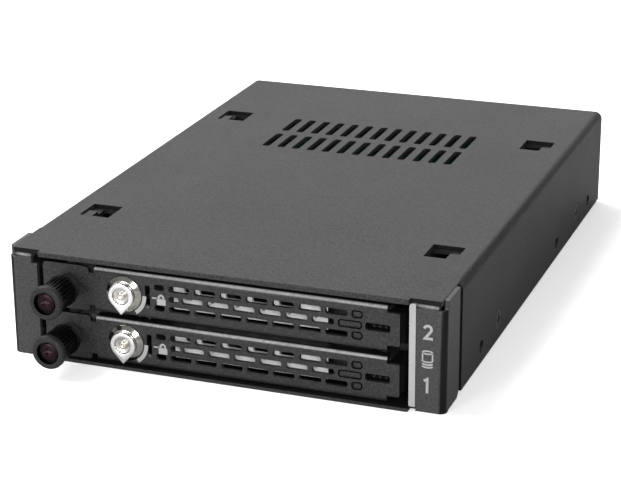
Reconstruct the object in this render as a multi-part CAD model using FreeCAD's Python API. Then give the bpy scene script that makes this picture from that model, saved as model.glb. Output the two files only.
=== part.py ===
"""Two-bay hot swap drive cage for one 3.5 inch front bay, built for 2.5 inch drives.

Millimetres. +X is right and +Y is towards the back, seen from the front. +Z is up.
The origin is on the underside, midway between the sides, in the plane of the front ears.
"""
import FreeCAD, Part

import math
import os

V = FreeCAD.Vector

# ---------------------------------------------------------------- overall
body_width = 101.6
body_height = 25.4
body_depth = 146.0
half_width = body_width / 2
cover_sheet = 1.0
floor_sheet = 0.8
floor_bend = 1.4
floor_flange = 11.0
seat_gap = 0.05          # between sheets that are screwed or riveted together
running_gap = 0.05       # radial, for shafts and pins that turn
move_gap = 0.1           # between faces that slide past each other

# ---------------------------------------------------------------- top cover
cover_bend = 1.9
cover_setback = 0.2      # the cover's front edge above the ears
cover_side_bottom = 0.65
cover_corner = 0.6
ear_side_depth = 9.9
ear_side_gap = 1.85      # the upright gap between an ear and the cover's side
lip_inset = 8.0          # from the cage's side to the end of the front lip
lip_half_width = half_width - lip_inset
lip_reach = 1.13
lip_drop = 1.1
lip_bend = 0.3
vent_count = 13
vent_pitch = 4.04
vent_width = 2.0
vent_length = 11.0
vent_corner = 0.7
vent_rows = (93.7, 107.6)
window_inset = 5.4       # from the cage's side
window_width = 7.4
window_outer = half_width - window_inset
window_inner = window_outer - window_width
window_length = 7.9
window_starts = (24.5, 106.7)

# ---------------------------------------------------------------- fixings
screw_hole = 3.0         # M3, drawn at its nominal diameter
mount_front = 27.5
mount_spacing = 70.0
mount_back_inset = 13.5
mount_rows = (mount_front, mount_front + mount_spacing, body_depth - mount_back_inset)
mount_height = 4.6
side_screw_front = 42.1
side_screw_back_inset = 26.7
side_screw_rows = (side_screw_front, body_depth - side_screw_back_inset)
side_screw_height = 5.4
flat_head = 5.3
flat_head_depth = 0.9
flat_head_gap = 0.2
cross_arm = 0.5
cross_share = 0.3        # a cross recess's arm, as a share of the head's width
screw_tip = 1.5
rivet_head = 3.0
rivet_crown = 2.1
rivet_tail = 0.1         # the tail ends this far above the underside
rivet_head_height = 0.5
rivet_shank = 2.0

# ---------------------------------------------------------------- ears and light bar
ear_left_width = 7.05
ear_right_width = 6.6
ear_inner_left = half_width - ear_left_width
ear_inner_right = half_width - ear_right_width
ear_bend = 1.6
ear_top_gap = 0.15
ear_top_bend = 0.9
ear_top_depth = 6.0
ear_relief = 0.1
ear_side_lift = 0.3
ear_side_drop = 0.1      # the side's top edge below the cover's top
ear_lift_start = 2.2
ear_chamfer = 1.2
ear_notch_width = 1.35
ear_notch_drop = 2.2
ear_foot_depth = 8.0
ear_foot_inset = 0.3
ear_rivet_inset = 4.0
ear_rivet_x = half_width - ear_rivet_inset
ear_rivet_y = 5.8
bar_width = 1.4
bar_gap = 0.05
bar_proud = 0.2
bar_depth = 3.0
bar_corner = 0.6
bar_lift = 0.2
bar_edge = 0.3
guide_rod = 1.3

# ---------------------------------------------------------------- trays
tray_count = 2
plate_bottom = floor_sheet + move_gap
plate_top_room = 1.3    # from the top of the cage to a bay's end, above the upper plate's gap
plate_gap = 1.15         # between the lower and upper front plates
tray_pitch = (body_height - plate_bottom - plate_top_room) / tray_count
plate_height = tray_pitch - plate_gap
plate_left_gap = 1.35    # from the left ear
plate_right_gap = 3.6    # from the right ear
plate_left = plate_left_gap - ear_inner_left
plate_right = ear_inner_right - plate_right_gap
plate_y = 0.2
plate_sheet = 0.9
plate_bend = 1.0
plate_flange = 2.6
tab_width = 11.2
tab_corner = 1.0
notch_width = 1.3
notch_depth = 1.4
end_tab = 2.8
end_notch = 1.55
end_corner = 0.4

lock_inset = 19.7        # from the plate's left end
lock_x = plate_left + lock_inset
grip_inset = 7.6         # from the plate's right end
grip_start = plate_right - grip_inset
upright_slot_offset = 5.6        # these offsets are from the lock
icon_slot_offset = 7.2
outer_row_offset = 10.6
middle_row_step = 3.0
slot_web = 1.03
slot_height = 1.4
slot_corner = 0.55
row_pitch = 2.4
outer_row_start = lock_x + outer_row_offset
outer_row_count = 7
outer_row_room = 2.89
slot_pitch = (grip_start - outer_row_room - outer_row_start) / outer_row_count
slot_length = slot_pitch - slot_web
middle_row_start = outer_row_start + middle_row_step
middle_row_count = 6
short_slot = 2.4
icon_slot_start = lock_x + icon_slot_offset
blank_depth = 0.3
blank_length = 2.1
blank_corner = 0.4
grip_length = 5.5
grip_height = 1.75
grip_corner = 0.5
upright_slot_x = lock_x + upright_slot_offset
upright_slot_width = 1.2
upright_slot_height = 4.7
upright_slot_rise = 0.25   # above the plate's mid height
upright_slot_corner = 0.3

tray_floor_lift = 0.95   # tray floor above the lower edge of its front plate
tray_sheet = 0.8
tray_wall_y = 9.0
tray_wall_drop = 1.25     # the wall is lower than the front plate
tray_wall_height = plate_height - tray_wall_drop
tray_wall_past_plate = 0.4
tray_wall_reach = plate_right + tray_wall_past_plate
tray_side_height = 6.0
tray_floor_short = 2.6    # the floor ends before the drive's connector end
tray_side_short = 6.6
vent_panel_y = 6.0
vent_panel_offset = 9.2   # from the lock
vent_panel_inset = 18.0   # from the plate's right end
vent_panel_left = lock_x + vent_panel_offset
vent_panel_right = plate_right - vent_panel_inset
vent_panel_drop = 0.3      # the panel's lower edge, below the tray's floor
panel_hole_lift = 3.7
panel_hole_height = 1.6
panel_hole_corner = 0.5
panel_hole_count = 4
panel_hole_web = 1.1
panel_hole_offset = 6.2
panel_hole_margin = 5.1
panel_hole_start = vent_panel_left + panel_hole_offset
panel_hole_pitch = (vent_panel_right - panel_hole_margin - panel_hole_start) / panel_hole_count
panel_hole_length = panel_hole_pitch - panel_hole_web
panel_short_offset = 2.5
panel_short_hole = vent_panel_left + panel_short_offset
panel_short_length = 2.6
panel_low_length = 2.0
panel_low_lift = 2.1
panel_low_height = 0.95
panel_low_corner = 0.3
panel_dot_count = 5
panel_dot_offset = 9.1
panel_dot_margin = 2.88
panel_dot_start = vent_panel_left + panel_dot_offset
panel_dot_pitch = (vent_panel_right - panel_dot_margin - panel_dot_start) / (panel_dot_count - 1)
panel_dot_lift = 2.4
panel_dot_radius = 0.45
wall_window_count = 3
wall_window_lift = 2.0
wall_window_drop = 1.5
drive_width = 69.85
drive_length = 100.2
drive_gap = 0.175
drive_hole_rows = (14.0, 90.6)      # from the drive's connector end
drive_hole_spacing = 61.72
drive_hole_height = 3.0
floor_slot_rows = 5
floor_slot_columns = (-12.0, 0.0, 12.0)
floor_slot_offset = 14.0    # from the drive's front
floor_slot_pitch = 16.0
floor_slot_length = 8.0
floor_slot_width = 3.0
floor_slot_corner = 1.4

# ---------------------------------------------------------------- lever hinge
pin_inset = 5.0           # from the plate's right end
pin_x = plate_right - pin_inset
pin_y = 4.0
pin_radius = 1.0
knuckle_radius = 2.3
knuckle_corner = 2.2
hook_reach = 5.9
hook_root = 3.7
hook_face = 4.6
hook_throat = 3.4
hook_pocket = 1.5        # depth of the recess behind the plate's grip slot

# ---------------------------------------------------------------- key lock
bezel_radius = 4.25
bezel_height = 1.0
bezel_bevel = 0.7        # along the lock
bezel_slope = 1.0        # the bevel's width across the lock
barrel_radius = 3.2
barrel_end = 8.5
lock_nut_radius = 4.2
lock_nut_height = 1.6
core_radius = 2.3
dial_radius = 3.0
dial_height = 1.0
pointer_reach = 4.4
pointer_round = 0.35
key_radius = 1.95
key_depth = 0.75
key_pin_radius = 0.85
key_notch = 0.7
notch_sink = 0.6
dimple_radius = 0.3
dimple_depth = 0.5
cam_length = 4.2
cam_width = 3.2
cam_sheet = 0.8
cam_stub = 1.3
cam_gap = 0.2
cam_round = 1.55
cam_tip_corner = 0.6
cam_nut_radius = 2.2
cam_nut_height = 0.9
cam_room = 0.4

# ---------------------------------------------------------------- thumbscrew
thumb_inset = 6.1         # from the plate's left end
thumb_x = plate_left + thumb_inset
knob_front = -11.2
knob_back = -2.5
knob_ring_radius = 3.85
knob_ring_length = 1.9
knob_ring_round = 0.6
knurl_radius = 3.45
knurl_depth = 0.25
knurl_count = 26
rim_radius = 3.6
rim_length = 0.6
knob_recess_radius = 2.58
knob_recess_depth = 1.2
head_radius = 2.15
head_height = 0.75
head_cross_arm = 0.85
head_cross_reach = 1.4
head_cross_depth = 0.5
shank_radius = 1.45
shank_end = 7.9
tip_length = 0.5
tip_radius = 1.05
ferrule_radius = 2.9
ferrule_neck = 2.2
ferrule_collar = 2.8
ferrule_collar_height = 0.6
ferrule_front = -1.9
ring_radius = 2.3
ring_height = 0.5
ring_y = 4.7
thumb_nut_radius = 2.6
nut_neck = 2.15
thumb_nut_length = 3.5
thumb_nut_play = 0.3

# ---------------------------------------------------------------- guides and backplane
guide_gap = 0.4
guide_sheet = 1.0
guide_start = 16.0
guide_back_gap = 4.0
guide_flange_inset = 4.8
guide_flange_outer = half_width - guide_flange_inset
guide_rivet_inset = 11.0
guide_rivet_count = 4
ledge_width = 2.2
ledge_sheet = 0.9
hook_inset = 0.2
hook_width = 2.4
hook_length = 4.4
hook_rise = 0.6
board_sheet = 1.6
board_inset = 5.8
board_half_width = half_width - board_inset
board_edge = 1.2
board_hole_side_inset = 5.5
board_hole_x = board_half_width - board_hole_side_inset
board_hole_inset = 3.4
drive_socket_width = 42.0
drive_socket_height = 5.5
drive_socket_offset = -4.8
drive_socket_lift = 0.9
drive_socket_gap = 0.3
drive_socket_depth = 6.1
socket_slot_width = 36.0
socket_slot_height = 1.4
socket_slot_depth = 4.5
panel_inset = 1.6
panel_side_gap = 0.6
panel_foot = 6.0
port_height = 7.0
data_port_width = 15.0
data_port_centres = (-28.0, -8.0)
power_port_width = 25.0
power_port_centre = 20.0
port_wall = 1.2
port_end_inset = 0.4
port_cavity = 8.0
port_tongue = 1.2
port_gap = 0.3
spacer_radius = 2.4
spacer_length = 10.8
pan_head = 4.8
pan_head_height = 1.1
pan_screw_length = 5.0
led_size = 1.6
rear_slot_count = 9
rear_slot_pitch = 8.0
rear_slot_width = 2.4
rear_slot_height = 4.6
rear_slot_offset = 7.1
rear_slot_corner = 1.0

# ---------------------------------------------------------------- worked out from the above
cover_under = body_height - cover_sheet
side_start = ear_side_depth + ear_side_gap
hole_radius = screw_hole / 2
flange_outer = half_width - cover_sheet - seat_gap
flange_inner = flange_outer - cover_sheet
ear_top = cover_under - ear_top_gap
tray_inner = drive_width / 2 + drive_gap
tray_outer = tray_inner + tray_sheet
web_inner = tray_outer + guide_gap
web_outer = web_inner + guide_sheet
guide_bottom = floor_sheet + seat_gap
guide_top = cover_under - seat_gap
bore_radius = pin_radius + running_gap
panel_front = body_depth - panel_inset - cover_sheet
board_back = panel_front - spacer_length
board_front = board_back - board_sheet
drive_back = board_front - drive_socket_depth - drive_socket_gap
drive_front = drive_back - drive_length
tray_floor_end = drive_back - tray_floor_short
tray_side_end = drive_back - tray_side_short
guide_end = board_front - guide_back_gap
port_centre_z = body_height / 2
bar_inner = ear_inner_right - bar_gap - bar_width


# ---------------------------------------------------------------- shape helpers
def box(x0, x1, y0, y1, z0, z1):
    return Part.makeBox(x1 - x0, y1 - y0, z1 - z0, V(x0, y0, z0))


def rod(radius, start, end):
    """A cylinder between two points."""
    start = V(*start)
    along = V(*end) - start
    return Part.makeCylinder(radius, along.Length, start, along)


def cone(radius_a, radius_b, start, end):
    start = V(*start)
    along = V(*end) - start
    return Part.makeCone(radius_a, radius_b, along.Length, start, along)


def on_plane(axis, u, v, w):
    """Put (u, v) at the height w along the axis: X takes (y, z), Y takes (x, z), Z takes (x, y)."""
    places = {"x": (w, u, v), "y": (u, w, v), "z": (u, v, w)}
    return V(*places[axis])


def outline(points, axis, w):
    """A closed wire through (u, v) or (u, v, corner radius) points."""
    count = len(points)
    corners = []
    for i in range(count):
        here = points[i]
        p = FreeCAD.Vector(here[0], here[1], 0)
        before = FreeCAD.Vector(points[i - 1][0], points[i - 1][1], 0) - p
        after = FreeCAD.Vector(points[(i + 1) % count][0], points[(i + 1) % count][1], 0) - p
        radius = here[2] if len(here) > 2 else 0
        if not radius:
            corners.append((p, None, p))
            continue
        half = before.getAngle(after) / 2
        reach = radius / math.tan(half)
        middle = (before.normalize() + after.normalize()).normalize()
        a = p + before * reach
        b = p + after * reach
        centre = p + middle * (radius / math.sin(half))
        corners.append((a, centre - middle * radius, b))
    edges = []
    for i in range(count):
        a, middle, b = corners[i]
        if middle is not None:
            arc = [on_plane(axis, q.x, q.y, w) for q in (a, middle, b)]
            edges.append(Part.Arc(*arc).toShape())
        following = corners[(i + 1) % count][0]
        if (following - b).Length > 1e-6:
            ends = [on_plane(axis, q.x, q.y, w) for q in (b, following)]
            edges.append(Part.LineSegment(*ends).toShape())
    return Part.Wire(edges)


def prism(points, axis, start, end):
    """The outline, extruded along the axis from start to end."""
    face = Part.Face(outline(points, axis, start))
    return face.extrude(on_plane(axis, 0, 0, end - start))


def rounded(u0, u1, v0, v1, radius, axis, start, end):
    points = [(u0, v0, radius), (u1, v0, radius), (u1, v1, radius), (u0, v1, radius)]
    return prism(points, axis, start, end)


def join(shapes):
    whole = shapes[0]
    if len(shapes) > 1:
        whole = whole.fuse(shapes[1:])
    return whole.removeSplitter()


def cross(x, y, z, arm, reach, depth):
    """A cross recess that opens towards -Y at (x, y, z)."""
    flat = box(x - reach, x + reach, y, y + depth, z - arm / 2, z + arm / 2)
    upright = box(x - arm / 2, x + arm / 2, y, y + depth, z - reach, z + reach)
    return flat.fuse(upright)


def save(name, shape):
    shape.exportStep("parts/" + name + ".step")


# ---------------------------------------------------------------- shell of the cage
def top_cover():
    shell = []
    bend_in = cover_bend - cover_sheet
    section = [
        (-half_width, cover_side_bottom), (-half_width, body_height, cover_bend),
        (half_width, body_height, cover_bend), (half_width, cover_side_bottom),
        (half_width - cover_sheet, cover_side_bottom), (half_width - cover_sheet, cover_under, bend_in),
        (-half_width + cover_sheet, cover_under, bend_in), (-half_width + cover_sheet, cover_side_bottom)]
    shell.append(prism(section, "y", side_start, body_depth))
    over = half_width - cover_sheet - seat_gap
    back = side_start + cover_bend
    shell.append(rounded(-over, over, cover_setback, back, cover_corner, "z", cover_under, body_height))
    lip = [
        (cover_setback + cover_sheet, body_height), (-lip_reach, body_height, lip_bend),
        (-lip_reach, body_height - lip_drop), (-lip_reach + cover_sheet, body_height - lip_drop),
        (-lip_reach + cover_sheet, cover_under), (cover_setback + cover_sheet, cover_under)]
    shell.append(prism(lip, "x", -lip_half_width, lip_half_width))
    cuts = []
    for row in vent_rows:
        for i in range(vent_count):
            x = (i - (vent_count - 1) / 2) * vent_pitch
            cuts.append(rounded(x - vent_width / 2, x + vent_width / 2, row - vent_length / 2,
                                row + vent_length / 2, vent_corner, "z", cover_under, body_height))
    for side in (-1, 1):
        for start in window_starts:
            edges = sorted((side * window_inner, side * window_outer))
            cuts.append(box(*edges, start, start + window_length, cover_under, body_height))
        outside = side * half_width
        inside = side * (half_width - cover_sheet)
        for y in mount_rows:
            cuts.append(rod(hole_radius, (inside, y, mount_height), (outside, y, mount_height)))
        for y in side_screw_rows:
            z = side_screw_height
            sunk = side * (half_width - flat_head_depth)
            cuts.append(cone(flat_head / 2, hole_radius, (outside, y, z), (sunk, y, z)))
            cuts.append(rod(hole_radius, (inside, y, z), (outside, y, z)))
    return join(shell).cut(cuts)


def bottom_plate():
    bend_in = floor_bend - floor_sheet
    section = [
        (-flange_outer, floor_flange), (-flange_outer, 0, floor_bend), (flange_outer, 0, floor_bend),
        (flange_outer, floor_flange), (flange_inner, floor_flange), (flange_inner, floor_sheet, bend_in),
        (-flange_inner, floor_sheet, bend_in), (-flange_inner, floor_flange)]
    channel = prism(section, "y", side_start + cover_bend, body_depth - seat_gap)
    behind_ears = cover_sheet + seat_gap
    wide = box(-flange_inner, flange_inner, behind_ears, side_start + 2 * cover_bend, 0, floor_sheet)
    front = box(-lip_half_width, lip_half_width, -lip_reach, behind_ears, 0, floor_sheet)
    cuts = []
    for side in (-1, 1):
        a = side * flange_inner
        b = side * flange_outer
        for y in mount_rows:
            cuts.append(rod(hole_radius, (a, y, mount_height), (b, y, mount_height)))
        for y in side_screw_rows:
            cuts.append(rod(hole_radius, (a, y, side_screw_height), (b, y, side_screw_height)))
        for x, y in rivet_places(side):
            cuts.append(rod(rivet_shank / 2, (x, y, 0), (x, y, floor_sheet)))
    return join([channel, wide, front]).cut(cuts)


def rivet_places(side):
    """Rivets through the floor: four in a guide's lower flange and one in an ear's foot."""
    x = side * (web_outer + guide_flange_outer) / 2
    first = guide_start + guide_rivet_inset
    step = (guide_end - guide_rivet_inset - first) / (guide_rivet_count - 1)
    places = [(x, first + k * step) for k in range(guide_rivet_count)]
    places.append((side * ear_rivet_x, ear_rivet_y))
    return places


def floor_rivets():
    solids = []
    for side in (-1, 1):
        for x, y in rivet_places(side):
            top = guide_bottom + guide_sheet
            shank = rod(rivet_shank / 2 - seat_gap, (x, y, rivet_tail), (x, y, top))
            head = cone(rivet_head / 2, rivet_crown / 2, (x, y, top), (x, y, top + rivet_head_height))
            solids.append(shank.fuse(head))
    return Part.makeCompound(solids)


def cover_screws():
    solids = []
    tip_x = flange_inner - screw_tip
    for side in (-1, 1):
        for y in side_screw_rows:
            z = side_screw_height
            outside = side * (half_width - seat_gap)
            sunk = side * (half_width - seat_gap - flat_head_depth)
            tip = side * tip_x
            top = flat_head / 2 - flat_head_gap
            head = cone(top, hole_radius - seat_gap, (outside, y, z), (sunk, y, z))
            screw = head.fuse(rod(hole_radius - seat_gap, (sunk, y, z), (tip, y, z)))
            reach = flat_head * cross_share
            deep = sorted((outside, side * (half_width - flat_head_depth)))
            arm = cross_arm / 2
            upright = box(*deep, y - arm, y + arm, z - reach, z + reach)
            flat = box(*deep, y - reach, y + reach, z - arm, z + arm)
            solids.append(screw.cut([upright, flat]))
    return Part.makeCompound(solids)


# ---------------------------------------------------------------- ears
def ear(side, inner):
    """One front ear: a face with a side, a top flange and a foot, all bent from one sheet."""
    t = cover_sheet
    edge = half_width
    plan = [
        (side * inner, 0), (side * edge, 0, ear_bend), (side * edge, ear_side_depth),
        (side * (edge - t), ear_side_depth), (side * (edge - t), t, ear_bend - t), (side * inner, t)]
    relief = ear_top - ear_top_bend - ear_relief
    wrap = prism(plan, "z", 0, relief)
    high_x = sorted((side * (edge - t), side * edge))
    side_top = body_height - ear_side_drop
    high_side = box(*high_x, ear_bend + ear_relief, ear_side_depth, relief - t, side_top)
    shade = [
        (0, 0), (0, ear_top, ear_top_bend), (ear_top_depth, ear_top), (ear_top_depth, ear_top - t),
        (t, ear_top - t), (t, 0)]
    flat = edge - ear_bend - ear_relief
    top = prism(shade, "x", *sorted((side * inner, side * flat)))
    foot_x = sorted((side * (inner + ear_foot_inset), side * (flat - t)))
    foot = box(*foot_x, t / 2, ear_foot_depth + t, guide_bottom, guide_bottom + t)
    whole = join([wrap, high_side, top, foot])
    back = ear_side_depth + t
    under = [
        (ear_lift_start, -t), (back, -t), (back, ear_chamfer + ear_side_lift),
        (ear_side_depth, ear_chamfer + ear_side_lift), (ear_side_depth - ear_chamfer, ear_side_lift),
        (ear_lift_start, ear_side_lift)]
    low = prism(under, "x", *sorted((side * (edge - 2 * t), side * (edge + t))))
    x, y = rivet_places(side)[-1]
    rivet = rod(rivet_shank / 2, (x, y, guide_bottom), (x, y, guide_bottom + t))
    return whole.cut([low, rivet])


def left_ear():
    shape = ear(-1, ear_inner_left)
    notch = box(-ear_inner_left - ear_notch_width, -ear_inner_left + 1, -1, ear_top_depth + 1,
                ear_top - ear_notch_drop, body_height)
    return shape.cut(notch)


def right_ear():
    return ear(1, ear_inner_right)


def light_bar():
    """A clear strip along the right ear's inner edge, with its upper inner corner rounded."""
    z0 = floor_sheet + bar_lift
    z1 = ear_top + bar_gap
    x1 = bar_inner + bar_width
    face = [(bar_inner, z0, bar_edge), (x1, z0), (x1, z1, bar_edge), (bar_inner, z1, bar_corner)]
    return prism(face, "y", -bar_proud, bar_depth - bar_proud)


def light_guides():
    """Clear rods that carry each bay's status light from the board to the light bar."""
    solids = []
    for z in tray_centres():
        x = bar_inner + bar_width / 2
        start = (x, bar_depth - bar_proud + seat_gap, z)
        solids.append(rod(guide_rod / 2, start, (x, board_front - led_size - seat_gap, z)))
    return Part.makeCompound(solids)


# ---------------------------------------------------------------- inside the cage
def tray_centres():
    return [plate_bottom + plate_height / 2 + i * tray_pitch for i in range(tray_count)]


def tray_floor(i):
    return plate_bottom + i * tray_pitch + tray_floor_lift


def guide(side):
    """A riveted channel: an upright web with a ledge under each tray and hooks in the cover's windows."""
    t = guide_sheet

    def across(a, b):
        return sorted((side * a, side * b))
    web = across(web_inner, web_outer)
    flange = across(web_inner, guide_flange_outer)
    ledge = across(web_inner - ledge_width, web_outer)
    pieces = [box(*web, guide_start, guide_end, guide_bottom, guide_top)]
    pieces.append(box(*flange, guide_start, guide_end, guide_bottom, guide_bottom + t))
    pieces.append(box(*flange, guide_start, guide_end, guide_top - t, guide_top))
    for i in range(tray_count):
        top = tray_floor(i) - move_gap
        pieces.append(box(*ledge, guide_start, guide_end, top - ledge_sheet, top))
    for start in window_starts:
        hook_end = window_outer - hook_inset
        y0 = start + hook_inset
        pieces.append(box(*across(hook_end - hook_width, hook_end), y0, y0 + hook_length,
                          guide_top - t, guide_top + hook_rise))
    whole = join(pieces)
    cuts = []
    for start in window_starts:
        clear_end = window_outer - 2 * hook_inset - hook_width
        cuts.append(box(*across(window_inner + hook_inset, clear_end), start + hook_inset,
                        start + window_length - hook_inset, guide_top - t, guide_top))
    for x, y in rivet_places(side)[:-1]:
        cuts.append(rod(rivet_shank / 2, (x, y, guide_bottom), (x, y, guide_bottom + t)))
    return whole.cut(cuts)


def board_holes():
    low = guide_bottom + board_hole_inset
    high = guide_top - board_hole_inset
    return [(x, z) for x in (-board_hole_x, board_hole_x) for z in (low, high)]


def backplane_board():
    board = box(-board_half_width, board_half_width, board_front, board_back,
                guide_bottom + board_edge, guide_top - board_edge)
    holes = [rod(hole_radius, (x, board_front, z), (x, board_back, z)) for x, z in board_holes()]
    return board.cut(holes)


def drive_socket(i):
    """The socket on the board that a drive in bay i plugs into."""
    x0 = drive_socket_offset - drive_socket_width / 2
    z0 = tray_floor(i) + tray_sheet + drive_socket_lift
    front = drive_back + drive_socket_gap
    body = box(x0, x0 + drive_socket_width, front, board_front, z0, z0 + drive_socket_height)
    sx = drive_socket_offset - socket_slot_width / 2
    sz = z0 + (drive_socket_height - socket_slot_height) / 2
    blade = box(sx, sx + socket_slot_width, front, front + socket_slot_depth, sz, sz + socket_slot_height)
    return body.cut(blade)


def port(centre, width):
    """A rear port: a shell with a contact tongue, reaching through the rear panel."""
    back = body_depth - port_end_inset
    x0 = centre - width / 2
    x1 = centre + width / 2
    z0 = port_centre_z - port_height / 2
    z1 = port_centre_z + port_height / 2
    shell = box(x0, x1, board_back, back, z0, z1)
    w = port_wall
    inside = box(x0 + w, x1 - w, back - port_cavity, back, z0 + w, z1 - w)
    tongue = box(x0 + 2 * w, x1 - 2 * w, back - port_cavity, back - w, port_centre_z - port_tongue / 2,
                 port_centre_z + port_tongue / 2)
    return shell.cut(inside).fuse(tongue)


def rear_panel():
    z0 = guide_bottom
    z1 = guide_top
    back = panel_front + cover_sheet
    wide = flange_inner - panel_side_gap
    plate = box(-wide, wide, panel_front, back, z0, z1)
    foot = box(-wide, wide, panel_front - panel_foot, back, z0, z0 + cover_sheet)
    cuts = []
    for centre, width in ports():
        x0 = centre - width / 2 - port_gap
        x1 = centre + width / 2 + port_gap
        reach = port_height / 2 + port_gap
        cuts.append(box(x0, x1, panel_front, back, port_centre_z - reach, port_centre_z + reach))
    for x, z in board_holes():
        cuts.append(rod(hole_radius, (x, panel_front, z), (x, back, z)))
    for i in range(rear_slot_count):
        x = (i - (rear_slot_count - 1) / 2) * rear_slot_pitch
        for way in (-1, 1):
            z = port_centre_z + way * rear_slot_offset
            cuts.append(rounded(x - rear_slot_width / 2, x + rear_slot_width / 2, z - rear_slot_height / 2,
                                z + rear_slot_height / 2, rear_slot_corner, "y", panel_front, back))
    return join([plate, foot]).cut(cuts)


def ports():
    return [(data_port_centres[0], data_port_width), (data_port_centres[1], data_port_width),
            (power_port_centre, power_port_width)]


def board_spacers():
    solids = []
    for x, z in board_holes():
        spacer = rod(spacer_radius, (x, board_back, z), (x, panel_front, z))
        solids.append(spacer.cut(rod(hole_radius, (x, board_back, z), (x, panel_front, z))))
    return Part.makeCompound(solids)


def pan_screws(face, way):
    """Pan head screws into the spacers: the head lies on face, and way is the direction it goes in."""
    solids = []
    for x, z in board_holes():
        head = rod(pan_head / 2, (x, face, z), (x, face - way * pan_head_height, z))
        shank = rod(hole_radius - seat_gap, (x, face, z), (x, face + way * pan_screw_length, z))
        y0 = min(face - way * pan_head_height, face - way * pan_head_height / 2)
        recess = cross(x, y0, z, cross_arm, pan_head * cross_share, pan_head_height / 2)
        solids.append(head.fuse(shank).cut(recess))
    return Part.makeCompound(solids)


def status_lights():
    solids = []
    x = bar_inner + bar_width / 2
    half = led_size / 2
    for z in tray_centres():
        solids.append(box(x - half, x + half, board_front - led_size, board_front, z - half, z + half))
    return Part.makeCompound(solids)


# ---------------------------------------------------------------- drive trays
def tray(i):
    """A drive tray: floor, sides, front wall with the hinge knuckles, and a perforated panel before it."""
    t = tray_sheet
    z0 = tray_floor(i)
    wall_top = z0 + tray_wall_height
    centre = tray_centres()[i]
    low = plate_bottom + i * tray_pitch
    high = low + plate_height
    wall_back = tray_wall_y + t
    pieces = [box(-tray_outer, tray_outer, tray_wall_y, tray_floor_end, z0, z0 + t)]
    pieces.append(box(-tray_wall_reach, tray_wall_reach, tray_wall_y, wall_back, z0, wall_top))
    for side in (-1, 1):
        edges = sorted((side * tray_inner, side * tray_outer))
        pieces.append(box(*edges, tray_wall_y, tray_side_end, z0, z0 + tray_side_height))
    p = vent_panel_y
    pieces.append(box(vent_panel_left, vent_panel_right, p, p + t, z0 - vent_panel_drop, wall_top))
    pieces.append(box(vent_panel_left, vent_panel_right, p, tray_wall_y + t, z0, z0 + t))
    pieces.append(box(vent_panel_left, vent_panel_left + t, p, tray_wall_y + t, z0, wall_top))
    pieces.append(box(vent_panel_right - t, vent_panel_right, p, tray_wall_y + t, z0, wall_top))
    step = plate_sheet + move_gap
    left = pin_x - knuckle_radius
    right = pin_x + knuckle_radius
    front = pin_y - knuckle_radius
    for z in (low + step, high - step - plate_sheet):
        knuckle = [
            (left, wall_back), (left, front, knuckle_corner), (right, front, knuckle_corner), (right, wall_back)]
        pieces.append(prism(knuckle, "z", z, z + plate_sheet))
    whole = join(pieces)
    cuts = [rod(bore_radius, (pin_x, pin_y, low), (pin_x, pin_y, high))]
    gap_low = low + step + plate_sheet
    gap_high = high - step - plate_sheet
    cuts.append(box(left, tray_wall_reach + 1, tray_wall_y - t, wall_back, gap_low, gap_high))
    lock_room = barrel_radius + cam_room
    cuts.append(rod(lock_room, (lock_x, tray_wall_y, centre), (lock_x, wall_back, centre)))
    half_slot = cam_width / 2 + cam_room
    cuts.append(box(lock_x - half_slot, lock_x + half_slot, tray_wall_y, wall_back, centre,
                    centre + cam_length + cam_room))
    cuts.append(rod(nut_neck + seat_gap, (thumb_x, tray_wall_y, centre), (thumb_x, wall_back, centre)))
    cuts += vent_panel_holes(z0)
    for back in drive_hole_rows:
        y = drive_back - back
        for side in (-1, 1):
            x = side * drive_hole_spacing / 2
            cuts.append(rod(hole_radius, (x, y, z0), (x, y, z0 + t)))
            inner = side * tray_inner
            outer = side * tray_outer
            height = z0 + t + drive_hole_height
            cuts.append(rod(hole_radius, (inner, y, height), (outer, y, height)))
    along = floor_slot_length / 2
    across = floor_slot_width / 2
    for row in range(floor_slot_rows):
        y = drive_front + floor_slot_offset + row * floor_slot_pitch
        for x in floor_slot_columns:
            cuts.append(rounded(x - along, x + along, y - across, y + across, floor_slot_corner,
                                "z", z0, z0 + t))
    return whole.cut(cuts)


def vent_panel_holes(z0):
    """Air holes in the panel behind the front plate: a row of long ones above a row of small ones."""
    y0 = vent_panel_y
    y1 = y0 + tray_sheet
    behind = tray_wall_y + tray_sheet
    low = z0 + panel_hole_lift
    high = low + panel_hole_height
    end = panel_short_hole + panel_short_length
    cuts = [rounded(panel_short_hole, end, low, high, panel_hole_corner, "y", y0, y1)]
    beneath = z0 + panel_low_lift
    cuts.append(rounded(panel_short_hole, panel_short_hole + panel_low_length, beneath,
                        beneath + panel_low_height, panel_low_corner, "y", y0, y1))
    for k in range(panel_hole_count):
        x = panel_hole_start + k * panel_hole_pitch
        cuts.append(rounded(x, x + panel_hole_length, low, high, panel_hole_corner, "y", y0, y1))
    for k in range(panel_dot_count):
        x = panel_dot_start + k * panel_dot_pitch
        z = z0 + panel_dot_lift
        cuts.append(rod(panel_dot_radius, (x, y0, z), (x, y1, z)))
    left = vent_panel_left + 2 * tray_sheet
    step = (vent_panel_right - vent_panel_left - 4 * tray_sheet) / wall_window_count
    for k in range(wall_window_count):
        x = left + k * step
        cuts.append(box(x + tray_sheet, x + step - tray_sheet, y1, behind, z0 + wall_window_lift,
                        z0 + tray_wall_height - wall_window_drop))
    return cuts


def hinge_pin(i):
    low = plate_bottom + i * tray_pitch
    return rod(pin_radius, (pin_x, pin_y, low + move_gap), (pin_x, pin_y, low + plate_height - move_gap))


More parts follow.
